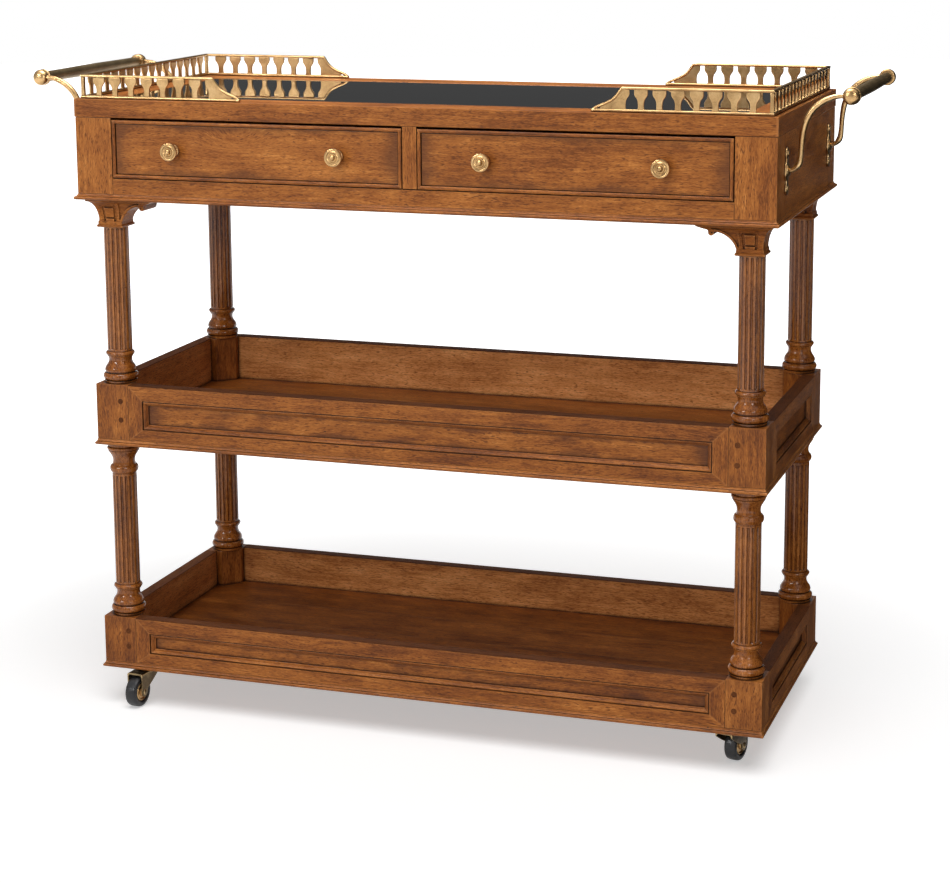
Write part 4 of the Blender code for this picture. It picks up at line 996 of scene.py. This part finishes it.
def capital(height):
    """A carved capital on the origin, its bracket towards -X, with a sunk panel and a raised tile."""
    reach = BRACKET_REACH + EDGE

    def cut(outline):
        return prism(outline, -reach, 2 * reach, 1)

    def sunk(depth):
        return combined(cut(capital_front(height)), [prism(capital_end(height, depth), -reach, 2 * reach, 0)],
                        "INTERSECT")

    web, centre = capital_arch(height, RIM_WIDTH)
    spandrel = web + [(-0.0575, height - 0.0050), (-0.0185, height - 0.0050), (-0.0165, 0.0140)]
    frame = mirrored([(0.0132, COLLAR_HEIGHT), (0.0158, 0.0330), (0.0130, 0.0372)])
    recess = mirrored([(0.0102, COLLAR_HEIGHT), (0.0122, 0.0310), (0.0096, 0.0346)])
    tile = mirrored(tenths((70, 158), (80, 312)))
    ledge = mirrored([(0.0072, COLLAR_HEIGHT - 0.001), (0.0072, 0.0140)])
    eye = arc((centre[0] + 0.0016, centre[1] + 0.0006), EYE_RADIUS, 0, 330, 11)
    solid = sunk(0.0)
    raised = [combined(copied(solid), [cut(outline)], "INTERSECT") for outline in (tile, ledge)]
    framed = combined(combined(solid, [cut(frame)], "DIFFERENCE"), [sunk(FRAME_SINK)], "UNION")
    carved = combined(framed, [cut(recess), cut(spandrel), cut(eye)], "DIFFERENCE")
    return combined(carved, [sunk(CARVED_SINK)] + raised, "UNION", CARVE_VOXEL)


def make_capitals():
    """Four carved capitals, mirrored to the corners."""
    low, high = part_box("capital_front_right")
    shape = capital(high.z - low.z)
    for corner, (sign_x, sign_y) in CORNERS.items():
        node = "capital_" + corner
        spot = seated(*middle("upper_column_" + corner).xy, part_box(node)[0].z) @ Matrix.Diagonal((sign_x, 1, 1, 1))
        place(node + "_carved", copied(shape, spot), "walnut_carved", "cart", [node], (0, 1), TURNED_TONE)
    shape.free()


# Case

def make_case():
    """Posts, end boards, back, rail, divider and moulded base of the case."""
    node = "case_carcass"
    low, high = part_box(node)
    centre_y, half_x = (low.y + high.y) / 2, high.x
    half_y = high.y - centre_y
    wide, deep = CASE_POST
    for corner, (sign_x, sign_y) in CORNERS.items():
        ends = ((sign_x * half_x, centre_y + sign_y * half_y, low.z),
                (sign_x * (half_x - wide), centre_y + sign_y * (half_y - deep), high.z))
        plank("case_post_" + corner, ends, EDGE, node, (2, 1), CASE_POST_TONE)
    inner_y, inner_x = half_y - deep - HAIR, half_x - wide - HAIR
    for side, sign in SIDES.items():
        ends = ((sign * half_x, centre_y - inner_y, low.z), (sign * (half_x - BOARD), centre_y + inner_y, high.z))
        plank("case_end_" + side, ends, FINE_EDGE, node, (1, 0))
    plank("case_back", ((-inner_x, high.y - BOARD, low.z), (inner_x, high.y, high.z)), FINE_EDGE, node, (0, 1))
    for part, fibre in (("drawer_rail", (0, 1)), ("drawer_divider", (2, 1))):
        plank(part + "_wood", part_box(part), FINE_EDGE, part, fibre)

    base_low, base_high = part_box("case_base")
    top = low.z - HAIR
    moulded_base("case", "case_base", half_x, half_y, centre_y, base_low.z, top, base_high.x - half_x)
    run_y = half_y - BOARD - HAIR
    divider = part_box("drawer_divider")[1].x
    starts = ((-divider - RUNNER_WIDTH, divider + RUNNER_WIDTH), (inner_x - RUNNER_WIDTH, inner_x),
              (-inner_x, RUNNER_WIDTH - inner_x))
    rail_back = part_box("drawer_rail")[1].y + HAIR
    for k, (near, far) in enumerate(starts):
        ends = ((near, rail_back, top), (far, centre_y + run_y, base_high.z))
        plank("drawer_runner_%d" % (k + 1), ends, FINE_EDGE, "case_base", (1, 2), finish="drawer_wood")


def top_levels(low, high):
    """The section of the top frame's rails: eased outer edges, flat top and the rebate round the glass."""
    inner, lip, foot, top = TOP_RAIL, TOP_LIP, low.z, high.z
    section = [(inner + REBATE_WIDTH, foot), (EDGE, foot), (0, foot + EDGE), (0, top - EDGE),
               (0.3 * EDGE, top - 0.3 * EDGE), (EDGE, top), (inner - lip, top), (inner, top - lip),
               (inner, top - REBATE_DEPTH), (inner + REBATE_WIDTH, top - REBATE_DEPTH)]
    return [(low.x + a, low.y + a, high.x - a, high.y - a, z) for a, z in section]


def make_top():
    """Four mitred rails round the black glass, which is returned."""
    low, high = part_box("top_frame")
    place_frame("top_rail_", AROUND, top_levels(low, high), as_is, LEVEL_FIBRES, "top_frame")
    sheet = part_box("top_glass")
    bed = ((low.x + TOP_RAIL, low.y + TOP_RAIL, low.z), (high.x - TOP_RAIL, high.y - TOP_RAIL, sheet[0].z - HAIR))
    plank("top_bed", bed, FINE_EDGE, "top_frame", (0, 2), finish="drawer_wood")
    return plank("top_glass_sheet", sheet, GLASS_EDGE, "top_glass", finish="black_glass")


# Drawers

def bead_levels(low, high, front):
    """The section of the cock bead round a drawer front."""
    half, rise = DRAWER_BEAD / 2, DRAWER_BEAD_RISE
    section = [(0, DRAWER_BEAD_DEPTH), (0, 0)]
    section += [(half - half * math.cos(t), -rise * math.sin(t)) for t in (math.pi * k / 8 for k in range(1, 8))]
    section += [(DRAWER_BEAD, 0), (DRAWER_BEAD, DRAWER_BEAD_DEPTH)]
    return [(low.x + a, low.z + a, high.x - a, high.z - a, front + d) for a, d in section]


def make_drawer(side):
    """One drawer: field, mitred cock bead, box and two knobs."""
    body, name = side + "_drawer", "drawer_%s_" % side
    node = name + "front"
    low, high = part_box(node)
    place_frame(name + "bead_", ("foot", "right", "head", "left"), bead_levels(low, high, low.y + DRAWER_BEAD_RISE),
                lambda x, z, y: (x, y, z), ((0, 1), (2, 1)), node, BEAD_TONE, body)
    inset = DRAWER_BEAD + DRAWER_QUIRK
    field = ((low.x + inset, low.y + DRAWER_FIELD_SINK, low.z + inset), (high.x - inset, high.y, high.z - inset))
    plank(name + "field", field, EDGE, node, (0, 1), DRAWER_TONE[side], DRAWER_END_SHADE, body=body)

    node = name + "box"
    low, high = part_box(node)
    wall = DRAWER_SIDE
    parts = {
        "side_left": ((low.x, low.y, low.z), (low.x + wall, high.y, high.z), (1, 0)),
        "side_right": ((high.x - wall, low.y, low.z), (high.x, high.y, high.z), (1, 0)),
        "back": ((low.x + wall, high.y - wall, low.z), (high.x - wall, high.y, high.z), (0, 1)),
        "front": ((low.x + wall, low.y, low.z), (high.x - wall, low.y + wall, high.z), (0, 1)),
        "bottom": ((low.x + wall, low.y + wall, low.z), (high.x - wall, high.y - wall, low.z + DRAWER_BOTTOM), (1, 2)),
    }
    for label, (near, far, fibre) in parts.items():
        plank(name + label, (near, far), FINE_EDGE, node, fibre, finish="drawer_wood", body=body)

    for hand in SIDES:
        node = name + "knob_" + hand
        low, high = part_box(node)
        radius, reach = (high.x - low.x) / 2, high.y - low.y
        bm = lathe([(0, 0)] + [(radius * out, reach * up) for out, up in KNOB_PROFILE])
        spot = seated((low.x + high.x) / 2, high.y, (low.z + high.z) / 2, 90, "X")
        place(node + "_turned", moved(bm, spot), "cast_brass", body, [node])


# Gallery

def baluster_side(pitch, foot, under):
    """Half of a baluster's outline from its foot up."""
    return [(pitch * out, foot + (under - foot) * up) for out, up in BALUSTER]


def baluster(pitch, foot, under):
    """A flat cast baluster on X = 0."""
    side = baluster_side(pitch, foot, under)
    side[0] = (side[0][0], foot - HAIR * 5)
    side[-1] = (side[-1][0], under + HAIR * 5)
    return plate(mirrored(curve_through(side, 3)), GALLERY_PLATE, GALLERY_ROUND)


def gallery_end(pitch, height):
    """The leaf and the swept rail that close an arm, from the bend at X = 0."""
    under = height - TOP_RAIL_HEIGHT
    line, tip = height - TOP_RAIL_HEIGHT / 2, FOOT_RAIL * 0.6
    curve = curve_through([(GALLERY_OGEE * out, tip + (line - tip) * up) for out, up in SWEPT_RAIL], 2)
    route = [(x, 0, z) for x, z in [(-0.004, line)] + curve]
    rail = swept(route, (0, 1, 0), [(b, a) for a, b in rounded(RAIL_WIDTH * 0.92, TOP_RAIL_HEIGHT, 0.0018)])
    toe = lathe(tenths((0, -34), (16, -30), (26, -16), (28, 0), (26, 16), (16, 30), (0, 34)), 20)
    toe = moved(toe, seated(GALLERY_OGEE, 0, FOOT_RAIL / 2, 90, "X"))
    edge = curve_through(baluster_side(-pitch, FOOT_RAIL, under), 3)
    slope = [(x, z - TOP_RAIL_HEIGHT * 0.2) for x, z in curve[2:-4]]
    foot = [(slope[-1][0] - 0.003, FOOT_RAIL - 0.0004), (slope[-1][0] * 0.5, FOOT_RAIL - 0.0006),
            (0.0, FOOT_RAIL - 0.0006)]
    leaf = plate(edge + [(0, under + HAIR * 5)] + slope + foot, GALLERY_PLATE * 0.48, GALLERY_ROUND * 0.5)
    return [rail, toe, leaf]


def make_gallery(side, sign):
    """One cast gallery round an end of the top."""
    node = "gallery_" + side
    low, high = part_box(node)
    height = high.z - low.z
    half_y = (high.y - low.y - RAIL_WIDTH) / 2
    under = height - TOP_RAIL_HEIGHT
    pieces = []
    for level, thick, reach in ((FOOT_RAIL / 2, FOOT_RAIL, GALLERY_RETURN + GALLERY_OGEE),
                                (height - TOP_RAIL_HEIGHT / 2, TOP_RAIL_HEIGHT, GALLERY_RETURN)):
        route = [(reach, -half_y, level), (0, -half_y, level), (0, half_y, level), (reach, half_y, level)]
        pieces.append(swept(route, (0, 0, 1), rounded(RAIL_WIDTH, thick, 0.0019)))
    count, end_count = [max(2, round(length / GALLERY_PITCH)) for length in (GALLERY_RETURN, 2 * half_y)]
    pitch, end_pitch = GALLERY_RETURN / count, 2 * half_y / end_count
    post = plate([(-POST_HALF, FOOT_RAIL - HAIR), (POST_HALF, FOOT_RAIL - HAIR), (POST_HALF * 0.86, height / 2),
                  (POST_HALF, under + HAIR), (-POST_HALF, under + HAIR), (-POST_HALF * 0.86, height / 2)],
                 2 * POST_HALF, GALLERY_ROUND)
    shape, end_shape = baluster(pitch, FOOT_RAIL, under), baluster(end_pitch, FOOT_RAIL, under)
    end_parts = gallery_end(pitch, height)
    for y in (-half_y, half_y):
        pieces.append(copied(post, seated(0, y, 0)))
        pieces += [copied(shape, seated(k * pitch, y, 0)) for k in range(1, count)]
        pieces += [copied(part, seated(GALLERY_RETURN, y, 0)) for part in end_parts]
    pieces += [copied(end_shape, seated(0, k * end_pitch - half_y, 0, 90)) for k in range(1, end_count)]
    for bm in (post, shape, end_shape, *end_parts):
        bm.free()
    corner = low.x + RAIL_WIDTH / 2 if sign < 0 else high.x - RAIL_WIDTH / 2
    spot = seated(corner, (low.y + high.y) / 2, low.z, 0 if sign < 0 else 180)
    place(node + "_cast", moved(joined(pieces), spot), "cast_brass", "cart", [node])


# Handles

def screw(radius):
    """A domed screw head with its slot, on X = 0 and facing +X."""
    head = lathe([(0, 0), (radius, 0), (radius, 0.0004), (radius * 0.86, 0.0011), (radius * 0.5, 0.0016),
                  (0, 0.0018)], 24)
    slot = board((-radius * 1.2, -radius * 0.12, 0.0010), (radius * 1.2, radius * 0.12, 0.0030), HAIR)
    return moved(combined(head, [slot], "DIFFERENCE"), turned(90, "Y"))


def handle_bracket(hand):
    """Back plate, bent arm and end cap of one bracket, on the case's end at X = 0."""
    right = curve_through(PLATE_OUTLINE, 4)
    right += [(y, -z) for y, z in reversed(right[:-1])]
    outline = right + [(-y, z) for y, z in reversed(right[1:-1])]
    back = moved(plate(outline, PLATE_THICKNESS, 0.0010, 0), seated(PLATE_THICKNESS / 2, 0, 0))
    boss = lathe(tenths((0, 0), (98, 0), (94, 12), (72, 26), (56, 40), (0, 46)), 32)
    boss = moved(boss, seated(PLATE_THICKNESS - 0.0006, 0, 0, 90, "Y"))
    route = curve_through(ARM_ROUTE, 5)
    rod = tube([(x, 0, z) for x, z, r in route], [r for x, z, r in route], 24)
    end_x, end_z = ARM_ROUTE[-1][0] + CAP_REACH, ARM_ROUTE[-1][1]
    profile = [(max(r, 0.0), z) for r, z in curve_through(CAP_PROFILE, 3)]
    cap = moved(lathe(profile, 40), seated(end_x, -hand * CAP_ASIDE, end_z, -90 * hand, "X"))
    screws = [moved(screw(SCREW_RADIUS), seated(PLATE_THICKNESS, 0, z)) for z in (SCREW_HEIGHT, -SCREW_HEIGHT)]
    return joined([back, boss, rod, cap] + screws)


def make_handles():
    """Two bars and the four brackets that hold them."""
    for side in SIDES:
        node = "handle_bar_" + side
        low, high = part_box(node)
        half, radius = (high.y - low.y) / 2, (high.z - low.z) / 2
        swell = curve_through([(radius * 0.92, -half), (radius * 0.94, -half * 0.6), (radius, 0),
                               (radius * 0.94, half * 0.6), (radius * 0.92, half)], 4)
        bm = moved(lathe([(0, -half)] + swell + [(0, half)], 40), seated(*middle(node), 90, "X"))
        place(node + "_turned", bm, "bronze", "cart", [node])
    case_low, case_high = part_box("case_carcass")
    plate_z = middle("handle_bar_left").z - ARM_ROUTE[-1][1]
    for corner, (sign_x, sign_y) in CORNERS.items():
        node = "handle_bracket_" + corner
        face = case_high.x if sign_x > 0 else case_low.x
        spot = seated(face, middle(node).y, plate_z, 0 if sign_x > 0 else 180)
        place(node + "_cast", moved(handle_bracket(sign_x * sign_y), spot), "cast_brass", "cart", [node])


# Casters

def caster_fork(crown):
    """A pressed fork at its swivel axis, trailing along -Y: two cheeks, a crown and the riveted axle."""
    half = FORK_GAP / 2 + FORK_SHEET / 2
    shoulder, head = crown - FORK_SHEET - FORK_SHOULDER, AXLE_HEAD_RADIUS
    outline = [(-CASTER_TRAIL - FORK_EYE, crown - 0.002)]
    outline += arc((-CASTER_TRAIL, WHEEL_RADIUS), FORK_EYE, 180, 350, 10)
    outline += curve_through([(-CASTER_TRAIL + FORK_EYE + 0.001, WHEEL_RADIUS + 0.004), (-0.008, WHEEL_RADIUS + 0.011),
                              (FORK_HEEL - 0.003, shoulder - 0.002), (FORK_HEEL, shoulder + 0.001)], 3)
    outline += [(FORK_HEEL, crown - 0.002)]
    parts = []
    for sign in (-1, 1):
        parts.append(moved(plate(outline, FORK_SHEET, SHEET_EDGE, 0), seated(sign * half, 0, 0)))
        rivet = lathe([(0, -0.0006), (head, -0.0006), (head, 0.0002), (head * 0.8, 0.0012), (head * 0.4, 0.0018),
                       (0, 0.0020)], 24)
        parts.append(moved(rivet, seated(sign * (half + FORK_SHEET / 2), -CASTER_TRAIL, WHEEL_RADIUS, 90 * sign, "Y")))
    section = [(half + FORK_SHEET / 2, crown - 0.0045)] + arc((half - 0.0018, crown - 0.0029), 0.0029, 0, 90, 5)
    inner = [(half - FORK_SHEET / 2, crown - 0.0045), (half - FORK_SHEET / 2 - 0.0008, crown - FORK_SHEET)]
    outline = mirrored(section) + [(-x, z) for x, z in inner] + inner[::-1]
    parts.append(prism(outline, -CASTER_TRAIL - FORK_EYE, CASTER_TRAIL + FORK_EYE + FORK_HEEL, 1))
    axle = lathe([(0, -half), (AXLE_RADIUS, -half), (AXLE_RADIUS, half), (0, half)], 16)
    parts.append(moved(axle, seated(0, -CASTER_TRAIL, WHEEL_RADIUS, 90, "Y")))
    return joined(parts)


def caster_plate(low, high, crown):
    """The fixed plate with its race and kingpin, about the swivel axis."""
    wide, deep = (high.x - low.x) / 2, (high.y - low.y) / 2
    race = [(RACE_RADIUS, -0.0015), (RACE_RADIUS, -0.0028), (RACE_RADIUS * 0.94, -0.0040)]
    kingpin = [(RACE_RADIUS * 0.84, 0.0007)]
    kingpin += tenths((45, 5), (45, -27), (75, -28), (68, -38), (40, -44), (0, -45))
    profile = [(0, high.z - 0.0015)] + [(r, high.z + z) for r, z in race] + [(r, crown + z) for r, z in kingpin]
    slab = plate(rounded(2 * wide, 2 * deep, PLATE_CORNER), PLATE_SHEET, SHEET_EDGE, 2)
    parts = [moved(slab, seated(0, 0, high.z - PLATE_SHEET / 2)), lathe(profile, 32)]
    wide, deep = wide - PLATE_SCREW_INSET, deep - PLATE_SCREW_INSET
    for x, y in ((-wide, -deep), (-wide, deep), (wide, -deep), (wide, deep)):
        parts.append(moved(screw(PLATE_SCREW), seated(x, y, high.z - PLATE_SHEET, 90, "Y")))
    return joined(parts)


def make_casters():
    """Four casters, each with its plate, fork, hub and tyre."""
    hub = HUB_PROFILE + [(r, -z) for r, z in reversed(HUB_PROFILE)]
    right = curve_through(TYRE_PROFILE, 3)
    tyre = right + [(r, -z) for r, z in reversed(right[:-1])]
    for corner in CORNERS:
        low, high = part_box("caster_plate_" + corner)
        x, y = middle("caster_plate_" + corner).xy
        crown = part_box("caster_fork_" + corner)[1].z
        turn = seated(x, y, 0, CASTER_TURNS[corner])
        wheel = turn @ seated(0, -CASTER_TRAIL, WHEEL_RADIUS, 90, "Y")
        seats = (("plate", caster_plate(low, high, crown), seated(x, y, 0), "plated_steel", "cart"),
                 ("fork", caster_fork(crown), turn, "plated_steel", corner + "_fork"),
                 ("hub", ring_lathe(hub), wheel, "cast_brass", corner + "_wheel"),
                 ("tyre", ring_lathe(tyre), wheel, "black_rubber", corner + "_wheel"))
        for label, bm, matrix, finish, body in seats:
            node = "caster_%s_%s" % (label, corner)
            place(node + "_fine", moved(bm, matrix), finish, body, [node])


# Studio

def make_lamp(name, settings, target):
    """A square soft box turned towards a point."""
    spot, size, power = settings
    lamp = bpy.data.lights.new(name, "AREA")
    lamp.shape, lamp.size, lamp.energy = "SQUARE", size, power
    obj = link_object(name, lamp)
    obj.location = spot
    obj.rotation_euler = (Vector(target) - obj.location).to_track_quat("-Z", "Y").to_euler()
    return obj


def make_floor_light():
    """Wide light from high in front, under which the shadow stays beneath and behind the cart."""
    strength, spread, lean, turn = FLOOR_LIGHT
    light = bpy.data.lights.new("floor_light", "SUN")
    light.energy, light.angle = strength, math.radians(spread)
    obj = link_object("floor_light", light)
    obj.rotation_euler = (math.radians(lean), 0, math.radians(turn))
    return obj


def share_light(pieces, lamps, state):
    """Makes pieces the only ones that the lamps light, for INCLUDE, or the only ones that they don't, for EXCLUDE."""
    group = bpy.data.collections.new(pieces[0].name + "_" + state.lower())
    for piece in pieces:
        group.objects.link(piece)
    for link in group.collection_objects:
        link.light_linking.link_state = state
    for lamp in lamps:
        lamp.light_linking.receiver_collection = group


def seen_directly(tree):
    """1 for rays from the camera, a mirror or through glass, and 0 for rays that carry light."""
    path = add(tree, "LightPath")
    seen = calc("MAXIMUM", path.outputs["Is Camera Ray"], path.outputs["Is Glossy Ray"])
    return calc("MAXIMUM", seen, path.outputs["Is Transmission Ray"])


def make_world():
    """White where it is seen, and dimmer where it only lights."""
    world = bpy.data.worlds.new("studio")
    bpy.context.scene.world = world
    world.use_nodes = True
    tree = world.node_tree
    strength = plus(times(seen_directly(tree), 1.0 - AMBIENT), AMBIENT)
    wire(tree.nodes["Background"], {"Strength": strength, "Color": WHITE})


def make_floor():
    """A pale floor that keeps the cart's shadow and runs out into the white."""
    bm = bmesh.new()
    bmesh.ops.create_circle(bm, cap_ends=True, radius=FLOOR_RADIUS, segments=96)
    floor = stage_piece("floor", bm)
    grey = (FLOOR_SHARE, FLOOR_SHARE, FLOOR_SHARE, 1.0)
    material, tree, shader = new_material("floor", Base_Color=grey, Roughness=0.9, Specular_IOR_Level=0.0,
                                          Emission_Color=WHITE)
    spot = add(tree, "TexCoord").outputs["Object"]
    away = add(tree, "VectorMath", {0: spot}, operation="LENGTH").outputs["Value"]
    wire(shader, {"Emission Strength": times(seen_directly(tree), span(away, *FLOOR_FADE, *FLOOR_GLOW))})
    floor.data.materials.append(material)
    return floor


def make_screen(name, low, high, grey):
    """A flat screen between two corners, which only mirrors see."""
    flat = min(range(3), key=lambda axis: high[axis] - low[axis])
    one, two = [axis for axis in range(3) if axis != flat]
    bm = bmesh.new()
    verts = []
    for first, second in ((low, low), (high, low), (high, high), (low, high)):
        corner = list(low)
        corner[one], corner[two] = first[one], second[two]
        verts.append(bm.verts.new(corner))
    bm.faces.new(verts)
    screen = stage_piece(name, bm)
    for ray in ("camera", "diffuse", "transmission", "volume_scatter", "shadow"):
        setattr(screen, "visible_" + ray, False)
    material = new_material(name, Base_Color=BLACK, Specular_IOR_Level=0.0, Emission_Color=WHITE,
                            Emission_Strength=grey)[0]
    screen.data.materials.append(material)


def stage_piece(name, bm):
    """A piece of the studio, which isn't part of the cart."""
    obj = mesh_object(name, bm)
    return obj


def make_camera():
    """The camera at the photograph's viewing angle."""
    turn, dip, tilt = CAMERA_TURN, CAMERA_DIP, CAMERA_TILT
    ahead = Vector((-math.sin(turn) * math.cos(dip), math.cos(turn) * math.cos(dip), -math.sin(dip)))
    right = Vector((math.cos(turn), math.sin(turn), 0))
    up = right.cross(ahead)
    right, up = right * math.cos(tilt) + up * math.sin(tilt), up * math.cos(tilt) - right * math.sin(tilt)
    data = bpy.data.cameras.new("camera")
    data.sensor_width = SENSOR
    data.lens = FOCAL_LENGTH_PX / IMAGE_PX[0] * SENSOR
    data.shift_x = (IMAGE_PX[0] / 2 - CENTRE_PX[0]) / IMAGE_PX[0]
    data.shift_y = (CENTRE_PX[1] - IMAGE_PX[1] / 2) / IMAGE_PX[0]
    camera = link_object("camera", data)
    axes = Matrix((right, up, -ahead)).transposed().to_4x4()
    camera.matrix_world = Matrix.Translation(CAMERA_PLACE) @ axes
    bpy.context.scene.camera = camera


def build():
    """Makes every piece, the studio and the camera."""
    make_camera()
    make_world()
    floor = make_floor()
    for name, screen in SCREENS.items():
        make_screen(name, *screen)
    bpy.context.scene.view_settings.view_transform = "Standard"
    for label in ("lower", "middle"):
        make_tray(label)
    make_columns()
    make_capitals()
    make_case()
    glass = make_top()
    for side, sign in SIDES.items():
        make_drawer(side)
        make_gallery(side, sign)
    make_handles()
    make_casters()

    key, top = make_lamp("key", KEY_LAMP, (0, 0, 0.6)), make_lamp("top", TOP_LAMP, (0, 0, 0.6))
    fill = make_lamp("fill", FILL_LAMP, (0, 0, 0.5))
    key.visible_glossy = False
    share_light([floor, glass], [key, top, fill], "EXCLUDE")
    share_light([floor], [make_floor_light()], "INCLUDE")


build()
